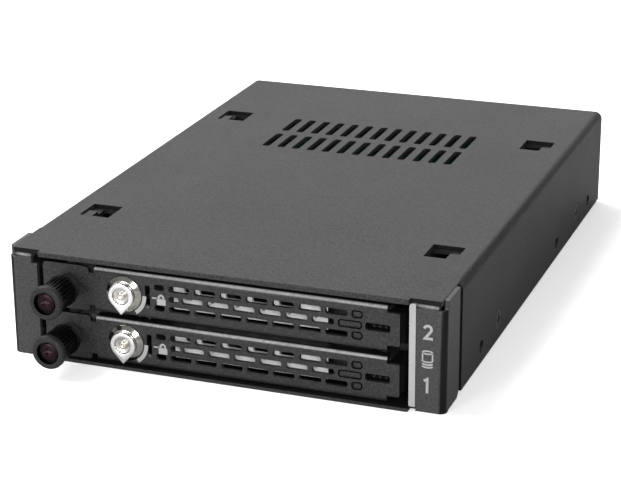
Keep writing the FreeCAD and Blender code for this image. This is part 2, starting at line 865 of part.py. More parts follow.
def thumb_nut(i):
    """A pressed nut on the tray's front wall, which takes the thumbscrew."""
    z = tray_centres()[i]
    nut = rod(thumb_nut_radius, (thumb_x, tray_wall_y - thumb_nut_length, z), (thumb_x, tray_wall_y, z))
    neck = rod(nut_neck, (thumb_x, tray_wall_y, z), (thumb_x, tray_wall_y + tray_sheet, z))
    bore = rod(shank_radius + thumb_nut_play, (thumb_x, 0, z), (thumb_x, 2 * tray_wall_y, z))
    return nut.fuse(neck).cut(bore)


# ---------------------------------------------------------------- lever
def slot(x, length, z, axis_end, height=slot_height, corner=slot_corner):
    return rounded(x, x + length, z - height / 2, z + height / 2, corner, "y", plate_y, axis_end)


def faceplate(i):
    """The lever: a slotted plate with folded top and bottom edges, hinged at its right end."""
    t = plate_sheet
    low = plate_bottom + i * tray_pitch
    high = low + plate_height
    centre = tray_centres()[i]
    y0 = plate_y
    y1 = plate_y + t
    main_left = plate_left + tab_width + notch_width
    main_right = plate_right - end_tab
    flange_y = plate_y + plate_flange
    bend_in = plate_bend - t
    section = [
        (flange_y, low), (y0, low, plate_bend), (y0, high, plate_bend), (flange_y, high),
        (flange_y, high - t), (y1, high - t, bend_in), (y1, low + t, bend_in), (flange_y, low + t)]
    pieces = [prism(section, "x", main_left, main_right)]
    tab = [
        (plate_left, low, tab_corner), (plate_left + tab_width, low, tab_corner),
        (plate_left + tab_width, high, tab_corner), (plate_left, high, tab_corner)]
    pieces.append(prism(tab, "y", y0, y1))
    neck_left = plate_left + tab_width / 2
    pieces.append(box(neck_left, main_left + 1, y0, y1, low + notch_depth, high - notch_depth))
    end = [
        (main_right - end_tab, low + end_notch), (plate_right, low + end_notch, end_corner),
        (plate_right, high - end_notch, end_corner), (main_right - end_tab, high - end_notch)]
    pieces.append(prism(end, "y", y0, y1))
    whole = join(pieces)
    cuts = []
    rows = (centre - row_pitch, centre, centre + row_pitch)
    for z in (rows[0], rows[2]):
        for k in range(outer_row_count):
            cuts.append(slot(outer_row_start + k * slot_pitch, slot_length, z, y1))
        blank = outer_row_start + outer_row_count * slot_pitch
        cuts.append(slot(blank, blank_length, z, y0 + blank_depth, corner=blank_corner))
        cuts.append(slot(icon_slot_start, short_slot, z, y1))
    cuts.append(slot(outer_row_start, short_slot, centre, y1))
    for k in range(middle_row_count):
        cuts.append(slot(middle_row_start + k * slot_pitch, slot_length, centre, y1))
    blank = middle_row_start + middle_row_count * slot_pitch
    cuts.append(slot(blank, slot_length, centre, y0 + blank_depth, corner=blank_corner))
    cuts.append(slot(grip_start, grip_length, centre, y1, height=grip_height, corner=grip_corner))
    upright_left = upright_slot_x - upright_slot_width / 2
    cuts.append(slot(upright_left, upright_slot_width, centre + upright_slot_rise, y1,
                     height=upright_slot_height, corner=upright_slot_corner))
    cuts.append(rod(barrel_radius + seat_gap, (lock_x, y0, centre), (lock_x, y1, centre)))
    cuts.append(rod(ferrule_neck + seat_gap, (thumb_x, y0, centre), (thumb_x, y1, centre)))
    cuts.append(rod(bore_radius, (pin_x, pin_y, low), (pin_x, pin_y, high)))
    return whole.cut(cuts)


def eject_hook(i):
    """A hooked block behind the plate that turns on the hinge pin and bears on the cage's front."""
    step = 2 * plate_sheet + 2 * move_gap
    low = plate_bottom + i * tray_pitch + step
    high = plate_bottom + i * tray_pitch + plate_height - step
    y1 = plate_y + plate_sheet
    r = knuckle_radius - move_gap
    nose = pin_x + hook_reach
    back = pin_y + r
    plan = [
        (pin_x - hook_root, y1), (pin_x + hook_face, y1), (nose - 0.4, pin_y - 1.6, 0.8),
        (nose, pin_y + 0.4, 0.6), (nose - 1.2, back, 0.7), (pin_x + hook_throat, pin_y + 0.4, 1.2),
        (pin_x + r, back, 1.6), (pin_x - r, back, 1.6), (pin_x - r, pin_y, 1.2)]
    block = prism(plan, "z", low, high)
    centre = tray_centres()[i]
    half = grip_height / 2
    pocket = rounded(grip_start, grip_start + grip_length, centre - half, centre + half,
                     grip_corner, "y", y1, y1 + hook_pocket)
    return block.cut([rod(bore_radius, (pin_x, pin_y, low), (pin_x, pin_y, high)), pocket])


def thumb_ferrule(i):
    """The riveted bush that the thumbscrew runs in."""
    z = tray_centres()[i]
    y0 = plate_y
    y1 = plate_y + plate_sheet
    front = rod(ferrule_radius, (thumb_x, ferrule_front, z), (thumb_x, y0, z))
    neck = rod(ferrule_neck, (thumb_x, y0, z), (thumb_x, y1, z))
    y2 = y1 + ferrule_collar_height
    collar = cone(ferrule_collar, ferrule_neck + 3 * seat_gap, (thumb_x, y1, z), (thumb_x, y2, z))
    bore = rod(shank_radius + running_gap, (thumb_x, ferrule_front, z), (thumb_x, y2, z))
    return join([front, neck, collar]).cut(bore)


# ---------------------------------------------------------------- key lock
def lock_barrel(i):
    z = tray_centres()[i]
    front = plate_y - bezel_height
    shoulder = front + bezel_bevel
    flat = rod(bezel_radius, (lock_x, shoulder, z), (lock_x, plate_y, z))
    bevel = cone(bezel_radius - bezel_slope, bezel_radius, (lock_x, front, z), (lock_x, shoulder, z))
    body = rod(barrel_radius, (lock_x, plate_y, z), (lock_x, barrel_end, z))
    bore = rod(core_radius + running_gap, (lock_x, front, z), (lock_x, barrel_end, z))
    return join([flat, bevel, body]).cut(bore)


def lock_nut(i):
    z = tray_centres()[i]
    y1 = plate_y + plate_sheet
    points = []
    for k in range(6):
        angle = math.radians(60 * k)
        radius = lock_nut_radius
        points.append((lock_x + radius * math.cos(angle), z + radius * math.sin(angle)))
    nut = prism(points, "y", y1, y1 + lock_nut_height)
    return nut.cut(rod(barrel_radius, (lock_x, y1, z), (lock_x, y1 + lock_nut_height, z)))


def lock_core(i):
    """The turning core: a dial with a pointer and a key socket in front, a stub for the cam behind."""
    z = tray_centres()[i]
    seat = plate_y - bezel_height - move_gap
    front = seat - dial_height
    dial = rod(dial_radius, (lock_x, front, z), (lock_x, seat, z))
    lean = math.acos(dial_radius / pointer_reach)
    tip = (lock_x, z - pointer_reach, pointer_round)
    sides = []
    for way in (-1, 1):
        angle = -math.pi / 2 + way * lean
        sides.append((lock_x + dial_radius * math.cos(angle), z + dial_radius * math.sin(angle)))
    pointer = prism([sides[0], tip, sides[1], (lock_x, z)], "y", front, seat)
    head = join([dial, pointer])
    shaft = rod(core_radius, (lock_x, seat, z), (lock_x, cam_front(), z))
    stub_end = cam_front() + cam_sheet + cam_nut_height + move_gap
    stub = rod(cam_stub, (lock_x, cam_front(), z), (lock_x, stub_end, z))
    key = rod(key_radius, (lock_x, front, z), (lock_x, front + key_depth, z))
    floor = front + key_depth
    key_pin = rod(key_pin_radius, (lock_x, front + move_gap, z), (lock_x, floor, z))
    dimple = rod(dimple_radius, (lock_x, front, z), (lock_x, front + dimple_depth, z))
    notch = box(lock_x + key_pin_radius, lock_x + key_radius - move_gap, floor, floor + notch_sink,
                z - key_notch / 2, z + key_notch / 2)
    whole = join([head, shaft, stub]).cut([key, notch])
    return join([whole, key_pin.cut(dimple)])


def cam_front():
    return tray_wall_y + tray_sheet + cam_gap


def lock_cam(i):
    """The bolt of the lock: it points up when open and swings to the left behind the tray's wall."""
    z = tray_centres()[i]
    y0 = cam_front()
    half = cam_width / 2
    tip = z + cam_length
    plan = [
        (lock_x - half, z - half, cam_round), (lock_x + half, z - half, cam_round),
        (lock_x + half, tip, cam_tip_corner), (lock_x - half, tip, cam_tip_corner)]
    cam = prism(plan, "y", y0, y0 + cam_sheet)
    return cam.cut(rod(cam_stub, (lock_x, y0, z), (lock_x, y0 + cam_sheet, z)))


def cam_nut(i):
    z = tray_centres()[i]
    y0 = cam_front() + cam_sheet
    y1 = y0 + cam_nut_height
    nut = rod(cam_nut_radius, (lock_x, y0, z), (lock_x, y1, z))
    return nut.cut(rod(cam_stub, (lock_x, y0, z), (lock_x, y1, z)))


# ---------------------------------------------------------------- thumbscrew
def thumb_knob(i):
    """The knob: a smooth ring in front, a knurled grip and a thin rim at the back."""
    z = tray_centres()[i]
    x = thumb_x
    ring_back = knob_front + knob_ring_length
    ring = rod(knob_ring_radius, (x, knob_front, z), (x, ring_back, z))
    ring = ring.makeFillet(knob_ring_round, [e for e in ring.Edges if isinstance(e.Curve, Part.Circle)])
    rim_front = knob_back - rim_length
    teeth = []
    for k in range(2 * knurl_count):
        radius = knurl_radius - (k % 2) * knurl_depth
        angle = math.pi * k / knurl_count
        teeth.append((x + radius * math.cos(angle), z + radius * math.sin(angle)))
    grip = prism(teeth, "y", ring_back, rim_front)
    rim = rod(rim_radius, (x, rim_front, z), (x, knob_back, z))
    recess = rod(knob_recess_radius, (x, knob_front, z), (x, knob_front + knob_recess_depth, z))
    bore = rod(shank_radius, (x, knob_front, z), (x, knob_back, z))
    return join([ring, grip, rim]).cut([recess, bore])


def thumb_screw(i):
    z = tray_centres()[i]
    x = thumb_x
    seat = knob_front + knob_recess_depth
    front = seat - head_height
    head = rod(head_radius, (x, front, z), (x, seat, z))
    taper = shank_end - tip_length
    shank = rod(shank_radius, (x, seat, z), (x, taper, z))
    tip = cone(shank_radius, tip_radius, (x, taper, z), (x, shank_end, z))
    recess = cross(x, front, z, head_cross_arm, head_cross_reach, head_cross_depth)
    return join([head, shank, tip]).cut(recess)


def retaining_ring(i):
    z = tray_centres()[i]
    ring = rod(ring_radius, (thumb_x, ring_y, z), (thumb_x, ring_y + ring_height, z))
    bore = rod(shank_radius + running_gap, (thumb_x, ring_y, z), (thumb_x, ring_y + ring_height, z))
    return ring.cut(bore)


# ---------------------------------------------------------------- write every piece
os.makedirs("parts", exist_ok=True)

save("top_cover", top_cover())
save("bottom_plate", bottom_plate())
save("floor_rivets", floor_rivets())
save("cover_screws", cover_screws())
save("left_ear", left_ear())
save("right_ear", right_ear())
save("light_bar", light_bar())
save("light_guides", light_guides())
save("guide_left", guide(-1))
save("guide_right", guide(1))
save("backplane_board", backplane_board())
save("rear_panel", rear_panel())
save("board_spacers", board_spacers())
save("board_screws", pan_screws(board_front, 1))
save("panel_screws", pan_screws(panel_front + cover_sheet, -1))
save("status_lights", status_lights())
save("data_port_1", port(*ports()[0]))
save("data_port_2", port(*ports()[1]))
save("power_port", port(*ports()[2]))

bay_pieces = {
    "tray": tray, "drive_socket": drive_socket, "hinge_pin": hinge_pin, "thumb_nut": thumb_nut,
    "faceplate": faceplate, "eject_hook": eject_hook, "thumb_ferrule": thumb_ferrule,
    "lock_barrel": lock_barrel, "lock_nut": lock_nut, "lock_core": lock_core, "lock_cam": lock_cam,
    "cam_nut": cam_nut, "thumb_knob": thumb_knob, "thumb_screw": thumb_screw,
    "retaining_ring": retaining_ring}
for bay in range(tray_count):
    for piece, build in bay_pieces.items():
        save("%s_%d" % (piece, bay + 1), build(bay))
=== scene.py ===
import math

import bpy
import bmesh
from mathutils import Matrix, Vector


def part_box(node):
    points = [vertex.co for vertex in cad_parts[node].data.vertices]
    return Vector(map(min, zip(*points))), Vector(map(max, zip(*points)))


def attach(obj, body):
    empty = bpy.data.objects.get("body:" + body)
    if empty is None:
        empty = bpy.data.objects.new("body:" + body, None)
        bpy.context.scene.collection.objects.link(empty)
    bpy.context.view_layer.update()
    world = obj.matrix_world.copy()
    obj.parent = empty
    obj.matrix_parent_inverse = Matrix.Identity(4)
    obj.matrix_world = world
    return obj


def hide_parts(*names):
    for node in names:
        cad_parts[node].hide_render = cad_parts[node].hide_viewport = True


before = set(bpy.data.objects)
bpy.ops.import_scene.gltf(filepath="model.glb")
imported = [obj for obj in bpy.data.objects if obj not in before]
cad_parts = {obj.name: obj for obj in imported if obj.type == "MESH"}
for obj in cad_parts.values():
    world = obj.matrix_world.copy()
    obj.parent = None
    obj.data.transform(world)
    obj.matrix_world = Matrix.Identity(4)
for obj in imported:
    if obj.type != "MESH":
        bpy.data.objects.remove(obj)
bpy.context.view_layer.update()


# ------------------------------------------------------------------ floor plate
# The cage stands on a floor of 0.8 mm steel sheet, folded up along both sides and powder coated
# black with a fine texture. The finish made here is also the one on the cover, ears and levers.

def link(tree, source, socket):
    """Feeds a socket from another node's output, or sets it to a number, vector or colour."""
    if isinstance(source, bpy.types.NodeSocket):
        tree.links.new(source, socket)
    elif socket.type == "RGBA":
        socket.default_value = (*source, 1.0)
    else:
        socket.default_value = source


def feed(tree, n, inputs):
    """Fills a node's inputs by name, with _ for a space, and returns its outputs."""
    for label, source in inputs.items():
        link(tree, source, n.inputs[label.replace("_", " ")])
    return n.outputs


def shader_node(tree, kind, **inputs):
    return feed(tree, tree.nodes.new(kind), inputs)


def use_group(tree, group, **inputs):
    n = tree.nodes.new("ShaderNodeGroup")
    n.node_tree = group
    return feed(tree, n, inputs)


def group_tree(name, inputs, outputs):
    """A shader node group with (name, default) float inputs and named float outputs."""
    tree = bpy.data.node_groups.new(name, "ShaderNodeTree")
    for label, value in inputs:
        socket = tree.interface.new_socket(label, in_out="INPUT", socket_type="NodeSocketFloat")
        socket.default_value = value
    for label in outputs:
        tree.interface.new_socket(label, in_out="OUTPUT", socket_type="NodeSocketFloat")
    given = tree.nodes.new("NodeGroupInput").outputs
    out = tree.nodes.new("NodeGroupOutput").inputs
    return tree, given, out


def math_node(tree, kind, a, b=None):
    n = tree.nodes.new("ShaderNodeMath")
    n.operation = kind
    link(tree, a, n.inputs[0])
    if b is not None:
        link(tree, b, n.inputs[1])
    return n.outputs[0]


def product(tree, first, *others):
    for factor in others:
        first = math_node(tree, "MULTIPLY", first, factor)
    return first


def noise(tree, vector, scale, detail=2.0, rough=0.5):
    return shader_node(tree, "ShaderNodeTexNoise", Vector=vector, Scale=scale, Detail=detail,
                       Roughness=rough)["Fac"]


def spread(tree, value, low, high, to_low=0.0, to_high=1.0):
    """Maps low..high to to_low..to_high and holds the ends."""
    return shader_node(tree, "ShaderNodeMapRange", Value=value, From_Min=low, From_Max=high,
                       To_Min=to_low, To_Max=to_high)["Result"]


def axes(tree, vector):
    parts = shader_node(tree, "ShaderNodeSeparateXYZ", Vector=vector)
    return parts["X"], parts["Y"], parts["Z"]


def spot_on_piece(tree):
    """The point of the surface in the piece's own axes, in metres."""
    return shader_node(tree, "ShaderNodeTexCoord")["Object"]


def facing(tree):
    """How far the surface faces right, back and up."""
    return axes(tree, shader_node(tree, "ShaderNodeTexCoord")["Normal"])


def make_powder_texture():
    """Fine orange-peel of powder coat: height of the grain, a speckle mask and a mask of
    handling smudges."""
    tree, given, out = group_tree("powder_texture",
                                  [("Grain size mm", 0.3), ("Smudge size mm", 30.0)],
                                  ["Height", "Speckle", "Smudge"])
    grain_share, cell_share, cell_density = 0.7, 0.3, 1.4
    spot = spot_on_piece(tree)
    fine = math_node(tree, "DIVIDE", 1000.0, given["Grain size mm"])
    wide = math_node(tree, "DIVIDE", 1000.0, given["Smudge size mm"])
    cell = shader_node(tree, "ShaderNodeTexVoronoi", Vector=spot,
                       Scale=product(tree, fine, cell_density))
    bumps = math_node(tree, "SUBTRACT", 1.0, cell["Distance"])
    height = math_node(tree, "ADD", product(tree, noise(tree, spot, fine, 3.0, 0.6), grain_share),
                       product(tree, bumps, cell_share))
    link(tree, height, out["Height"])
    link(tree, spread(tree, height, 0.42, 0.72), out["Speckle"])
    link(tree, spread(tree, noise(tree, spot, wide, 4.0, 0.55), 0.35, 0.7), out["Smudge"])
    return tree


def make_painted_bend_highlight():
    """Mask of sheet bends that face up and forwards, for a painted highlight along them, broken
    into patches."""
    tree, given, out = group_tree("painted_bend_highlight", [("Patchiness", 0.3)], ["Mask"])
    patch_scale = 1400.0
    back, up = facing(tree)[1:]
    bend = product(tree, spread(tree, product(tree, back, -1.0), 0.4, 0.6),
                   spread(tree, up, 0.3, 0.5))
    patches = noise(tree, spot_on_piece(tree), patch_scale, 3.0, 0.7)
    patchy_highlight = math_node(tree, "SUBTRACT", 1.0, product(tree, patches, given["Patchiness"]))
    link(tree, product(tree, bend, patchy_highlight), out["Mask"])
    return tree


# height of the lower lever's middle, and from one lever to the next
bay_places = [("Bay middle m", 0.006125), ("Bay pitch m", 0.0116)]


def off_bay_middle(tree, height, given):
    """Height above the middle of the nearest lever, in bay pitches."""
    over_first = math_node(tree, "SUBTRACT", height, given["Bay middle m"])
    bays_up = math_node(tree, "DIVIDE", over_first, given["Bay pitch m"])
    return math_node(tree, "SUBTRACT", bays_up, math_node(tree, "ROUND", bays_up))


def make_painted_shade_masks():
    """Masks of painted shade on the coat: sides with the top fold of each lever, faces that face
    up, edges that face forwards, and upright front corners."""
    tree, given, out = group_tree("painted_shade_masks",
                                  [("Front from m", -1.0), *bay_places, ("Fold height", 0.42)],
                                  ["Edges", "Upward", "Front edges", "Corners"])
    square_on, slanted = (0.86, 0.94), (0.1, 0.35)
    right_way, back, up = facing(tree)
    y, z = axes(tree, spot_on_piece(tree))[1:]
    side = math_node(tree, "ABSOLUTE", right_way)
    front = product(tree, back, -1.0)
    upward = spread(tree, up, *square_on)
    in_fold = math_node(tree, "GREATER_THAN", off_bay_middle(tree, z, given), given["Fold height"])
    behind = math_node(tree, "GREATER_THAN", y, given["Front from m"])
    link(tree, math_node(tree, "MAXIMUM", spread(tree, side, *square_on),
                         product(tree, upward, in_fold)), out["Edges"])
    link(tree, upward, out["Upward"])
    link(tree, product(tree, spread(tree, front, 0.75, 0.9), behind), out["Front edges"])
    link(tree, product(tree, spread(tree, side, *slanted), spread(tree, front, *slanted)),
         out["Corners"])
    return tree


powder_texture = make_powder_texture()
painted_bend_highlight = make_painted_bend_highlight()
painted_shade_masks = make_painted_shade_masks()


def blank_material(name, roughness, metallic=0.0):
    """A new material, its node tree and the inputs of its shader."""
    m = bpy.data.materials.new(name)
    m.use_nodes = True
    shader = m.node_tree.nodes["Principled BSDF"].inputs
    shader["Roughness"].default_value = roughness
    shader["Metallic"].default_value = metallic
    return m, m.node_tree, shader


def blend_colours(tree, mask, low, high):
    """A colour between low and high by the mask; either may be a socket."""
    n = tree.nodes.new("ShaderNodeMix")
    n.data_type = "RGBA"
    link(tree, mask, n.inputs["Factor"])
    link(tree, low, n.inputs[6])
    link(tree, high, n.inputs[7])
    return n.outputs[2]


def raise_surface(tree, shader, height, depth_mm, strength):
    bump = shader_node(tree, "ShaderNodeBump", Strength=strength, Distance=depth_mm / 1000.0,
                       Height=height)
    link(tree, bump["Normal"], shader["Normal"])


def powder_coat(name, dark, light, roughness, bend_highlight_colour=None, gloss=0.1, shade_mask=None,
                front_from=-1.0):
    """Black textured powder coat. A bend colour, when given, paints a highlight on the bends that
    face up and forwards. A shade mask, when given, names where painted shade darkens the coat."""
    painted_shade_black, uneven, grain_mm, grain_depth_mm = (0.005, 0.005, 0.005), 0.015, 0.4, 0.06
    m, tree, shader = blank_material(name, roughness)
    shader["Specular IOR Level"].default_value = gloss
    skin = use_group(tree, powder_texture, Grain_size_mm=grain_mm, Smudge_size_mm=24.0)
    colour = blend_colours(tree, skin["Speckle"], dark, light)
    # Painted highlight on the bends that face up and forwards.
    if bend_highlight_colour:
        highlight_mask = use_group(tree, painted_bend_highlight, Patchiness=0.9)
        colour = blend_colours(tree, highlight_mask["Mask"], colour, bend_highlight_colour)
    # Painted shade: near-black where the named mask is set.
    if shade_mask:
        edges = use_group(tree, painted_shade_masks, Front_from_m=front_from)
        colour = blend_colours(tree, edges[shade_mask], colour, painted_shade_black)
    link(tree, colour, shader["Base Color"])
    link(tree, spread(tree, skin["Smudge"], 0.0, 1.0, roughness - uneven, roughness + uneven),
         shader["Roughness"])
    raise_surface(tree, shader, skin["Height"], grain_depth_mm, 0.8)
    return m


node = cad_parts


def dress(names, material, edge_mm=0.0):
    """Gives CAD nodes a material and, where edge_mm is set, softened edges."""
    for name in names:
        piece = node[name]
        for held in piece.material_slots:
            held.material = material
        if edge_mm:
            weld = piece.modifiers.new("closed", "WELD")
            weld.merge_threshold = 1e-6
            soft = piece.modifiers.new("soft edges", "BEVEL")
            soft.width = edge_mm / 1000.0
            soft.segments = 2
            soft.limit_method = "ANGLE"
            soft.angle_limit = math.radians(40)
            soft.harden_normals = True


shell_dark, shell_light, shell_rough = (0.019, 0.019, 0.0195), (0.054, 0.054, 0.0545), 0.5
shell_coat = powder_coat("black_powder_coat", shell_dark, shell_light, shell_rough)
# Painted shade darkens the floor plate's upward faces, as in the gaps under the levers.
floor_coat = powder_coat("floor_coat", shell_dark, shell_light, shell_rough, shade_mask="Upward")
dress(["bottom_plate"], floor_coat, 0.1)


# ------------------------------------------------------------------ guides and their rivets
# A black coated steel channel stands on each side of the floor plate, riveted down through its
# flange, with a ledge under each tray and hooks that reach up into the cover's windows.

def make_plating():
    """Zinc plate: faint crystal blotches, and fine rolling lines along X."""
    tree, given, out = group_tree("zinc_plating",
                                  [("Blotch size mm", 3.0), ("Line size mm", 0.08)],
                                  ["Blotch", "Lines"])
    line_stretch = (0.02, 1.0, 1.0)
    spot = spot_on_piece(tree)
    wide = math_node(tree, "DIVIDE", 1000.0, given["Blotch size mm"])
    fine = math_node(tree, "DIVIDE", 1000.0, given["Line size mm"])
    along = shader_node(tree, "ShaderNodeMapping", Vector=spot, Scale=line_stretch)["Vector"]
    link(tree, spread(tree, noise(tree, spot, wide, 3.0, 0.6), 0.3, 0.7), out["Blotch"])
    link(tree, noise(tree, along, fine, 2.0, 0.6), out["Lines"])
    return tree


plating = make_plating()


def plated(name, dark, light, roughness, line_mm=0.08):
    m, tree, shader = blank_material(name, roughness, 1.0)
    skin = use_group(tree, plating, Blotch_size_mm=3.0, Line_size_mm=line_mm)
    link(tree, blend_colours(tree, skin["Blotch"], dark, light), shader["Base Color"])
    link(tree, spread(tree, skin["Lines"], 0.3, 0.7, roughness - 0.08, roughness + 0.1),
         shader["Roughness"])
    raise_surface(tree, shader, skin["Lines"], 0.004, 0.5)
    return m


zinc = plated("zinc_plate", (0.62, 0.62, 0.63), (0.8, 0.8, 0.8), 0.34)
guide_coat = powder_coat("guide_coat", (0.014, 0.014, 0.014), (0.022, 0.022, 0.022), 0.45)
dress(["guide_left", "guide_right"], guide_coat, 0.08)
dress(["floor_rivets"], zinc)


# ------------------------------------------------------------------ backplane
# A glass laminate board with green solder mask stands across the back of the trays on zinc
# spacers. It carries a moulded black socket for each drive, and a few small black packages.

def laminate(name, mask_dark, mask_light):
    """Solder mask over a grid of tracks and over poured copper."""
    track_scale, track_width, pour_scale = 240.0, 0.03, 260.0
    m, tree, shader = blank_material(name, 0.36)
    spot = spot_on_piece(tree)
    flat = shader_node(tree, "ShaderNodeMapping", Vector=spot,
                       Rotation=(math.radians(90), 0.0, 0.0))["Vector"]
    tracks = shader_node(tree, "ShaderNodeTexBrick", Vector=flat, Scale=track_scale,
                         Mortar_Size=track_width)
    pour = spread(tree, noise(tree, spot, pour_scale, 1.0), 0.49, 0.51)
    ground = blend_colours(tree, pour, mask_dark, mask_light)
    link(tree, blend_colours(tree, tracks["Fac"], ground, mask_light), shader["Base Color"])
    raise_surface(tree, shader, pour, 0.02, 0.6)
    return m


def moulded(name, dark, light, roughness):
    """Spark-eroded texture on a moulding."""
    m, tree, shader = blank_material(name, roughness)
    skin = use_group(tree, powder_texture, Grain_size_mm=0.12, Smudge_size_mm=9.0)
    link(tree, blend_colours(tree, skin["Smudge"], dark, light), shader["Base Color"])
    raise_surface(tree, shader, skin["Height"], 0.012, 0.6)
    return m


def put(name, points, faces, material, body, smooth_deg=35, centre=(0.0, 0.0, 0.0)):
    """A mesh piece from points in mm about centre (mm), riding on a body."""
    mesh = bpy.data.meshes.new(name)
    mesh.from_pydata([(x / 1000, y / 1000, z / 1000) for x, y, z in points], [], faces)
    mesh.validate()
    work = bmesh.new()
    work.from_mesh(mesh)
    bmesh.ops.recalc_face_normals(work, faces=work.faces)
    work.to_mesh(mesh)
    work.free()
    mesh.polygons.foreach_set("use_smooth", [True] * len(mesh.polygons))
    mesh.set_sharp_from_angle(angle=math.radians(smooth_deg))
    mesh.materials.append(material)
    piece = bpy.data.objects.new(name, mesh)
    piece.location = [c / 1000 for c in centre]
    bpy.context.scene.collection.objects.link(piece)
    bpy.context.view_layer.update()
    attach(piece, body)
    return piece


def bars(name, boxes, bevel, material, body):
    """Blocks bevelled in front, as one piece; each block is (x0, x1, y0, y1, z0, z1) in mm."""
    points, faces = [], []
    for x0, x1, y0, y1, z0, z1 in boxes:
        start = len(points)
        for y, inset in ((y0, bevel), (y0 + bevel, 0.0), (y1, 0.0)):
            points += [(x0 + inset, y, z0 + inset), (x1 - inset, y, z0 + inset),
                       (x1 - inset, y, z1 - inset), (x0 + inset, y, z1 - inset)]
        for layer in (start, start + 4):
            for k in range(4):
                n = (k + 1) % 4
                faces.append([layer + k, layer + n, layer + 4 + n, layer + 4 + k])
        faces.append([start + k for k in (3, 2, 1, 0)])
        faces.append([start + 8 + k for k in range(4)])
    return put(name, points, faces, material, body)


def millimetres(name):
    """A CAD node's box as (x0, x1, y0, y1, z0, z1) in mm."""
    low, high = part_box(name)
    return tuple(1000 * v for pair in zip(low, high) for v in pair)


board_green = laminate("solder_mask", (0.008, 0.05, 0.025), (0.014, 0.085, 0.04))
port_black = moulded("black_moulding", (0.012, 0.012, 0.012), (0.02, 0.02, 0.02), 0.4)
gold = plated("gold_contact", (0.72, 0.5, 0.2), (0.86, 0.62, 0.28), 0.24)
dress(["backplane_board"], board_green)
dress(["drive_socket_1", "drive_socket_2"], port_black, 0.08)
dress(["board_spacers", "board_screws"], zinc)

bays = (1, 2)
contact_places, key_gap, contact_pitch, first_contact, contact_half = 26, 16, 1.27, 4.6, 0.3
for bay in bays:
    x0, x1, y0, y1, z0, z1 = millimetres("drive_socket_%d" % bay)
    middle = (z0 + z1) / 2
    contacts = []
    for k in range(contact_places):
        x = x0 + first_contact + k * contact_pitch
        if k != key_gap:
            contacts.append((x - contact_half, x + contact_half, y0 + 0.6, y0 + 4.4,
                             middle - 0.7, middle - 0.45))
    bars("drive_contacts_%d" % bay, contacts, 0.06, gold, "cage")

board_face = millimetres("backplane_board")[2]
packages = [(left, right, board_face - thick, board_face, low, high)
            for left, right, thick, low, high in ((22.0, 29.0, 1.0, 4.6, 11.6),
                                                  (31.0, 33.0, 1.3, 5.0, 8.6),
                                                  (31.0, 33.0, 1.3, 15.0, 18.6),
                                                  (22.5, 27.5, 0.9, 14.6, 19.6),
                                                  (-34.0, -31.0, 1.6, 8.0, 11.0),
                                                  (-34.0, -31.0, 1.6, 13.0, 16.0))]
bars("board_packages", packages, 0.15, port_black, "cage")


# ------------------------------------------------------------------ status lights and clear rods
# A light package for each bay is soldered to the board. A clear acrylic rod runs from it along
# the right side to the clear strip in the front ear.

def clear_moulding(name, base, roughness, haze_mm):
    """Frosted clear plastic with a haze of the given size."""
    m, tree, shader = blank_material(name, roughness)
    haze = noise(tree, spot_on_piece(tree), 1000.0 / haze_mm, 3.0, 0.6)
    paler = tuple(min(1.0, c * 1.12) for c in base)
    link(tree, blend_colours(tree, haze, base, paler), shader["Base Color"])
    shader["Subsurface Weight"].default_value = 0.25
    shader["Subsurface Scale"].default_value = 0.001
    shader["Coat Weight"].default_value = 0.3
    shader["Coat Roughness"].default_value = 0.15
    raise_surface(tree, shader, haze, 0.01, 0.3)
    return m


acrylic = clear_moulding("frosted_acrylic", (0.285, 0.284, 0.28), 0.4, 2.0)
lens_white = clear_moulding("light_package", (0.75, 0.74, 0.68), 0.3, 0.8)
dress(["light_guides"], acrylic)
dress(["status_lights"], lens_white, 0.1)


# ------------------------------------------------------------------ rear panel and ports
# A folded steel panel closes the back, screwed to the board's spacers. Two data ports and one
# power port of black plastic come through it, with gold contacts on their tongues.

dress(["rear_panel"], shell_coat, 0.08)
dress(["data_port_1", "data_port_2", "power_port"], port_black, 0.12)
end_room = 3.2
for port, count, width in (("data_port_1", 7, 0.7), ("data_port_2", 7, 0.7),
                           ("power_port", 15, 0.8)):
    x0, x1, y0, y1, z0, z1 = millimetres(port)
    step = (x1 - x0 - 2 * end_room) / (count - 1)
    middle = (z0 + z1) / 2
    contacts = []
    for k in range(count):
        x = x0 + end_room + k * step
        contacts.append((x - width / 2, x + width / 2, y1 - 6.5, y1 - 1.5,
                         middle + 0.6, middle + 0.72))
    bars(port + "_contacts", contacts, 0.03, gold, "cage")
black_screw = powder_coat("black_oxide_screw", (0.02, 0.02, 0.021), (0.045, 0.045, 0.046), 0.38)
dress(["panel_screws"], black_screw, 0.1)


# ------------------------------------------------------------------ trays
# Each tray is bent from steel sheet: a floor with air slots, low sides and a front wall, all
# near-black as painted shade inside the cage. The perforated panel before the wall is bright zinc
# and shows through the lever's slots.

def make_bare_front():
    """Mask of the bright zinc panel: before a depth, between two widths and between two heights
    from the middle of each bay, all in m. Outside it the tray is painted shade."""
    tree, given, out = group_tree("bare_front",
                                  [("Left", -0.0135), ("Right", 0.0226), ("Back", 0.00687),
                                   ("Low", -0.0048), ("High", 0.0031), *bay_places], ["Mask"])
    x, y, z = axes(tree, spot_on_piece(tree))
    off_middle = product(tree, off_bay_middle(tree, z, given), given["Bay pitch m"])
    link(tree, product(tree, math_node(tree, "GREATER_THAN", x, given["Left"]),
                       math_node(tree, "LESS_THAN", x, given["Right"]),
                       math_node(tree, "LESS_THAN", y, given["Back"]),
                       math_node(tree, "GREATER_THAN", off_middle, given["Low"]),
                       math_node(tree, "LESS_THAN", off_middle, given["High"])), out["Mask"])
    return tree


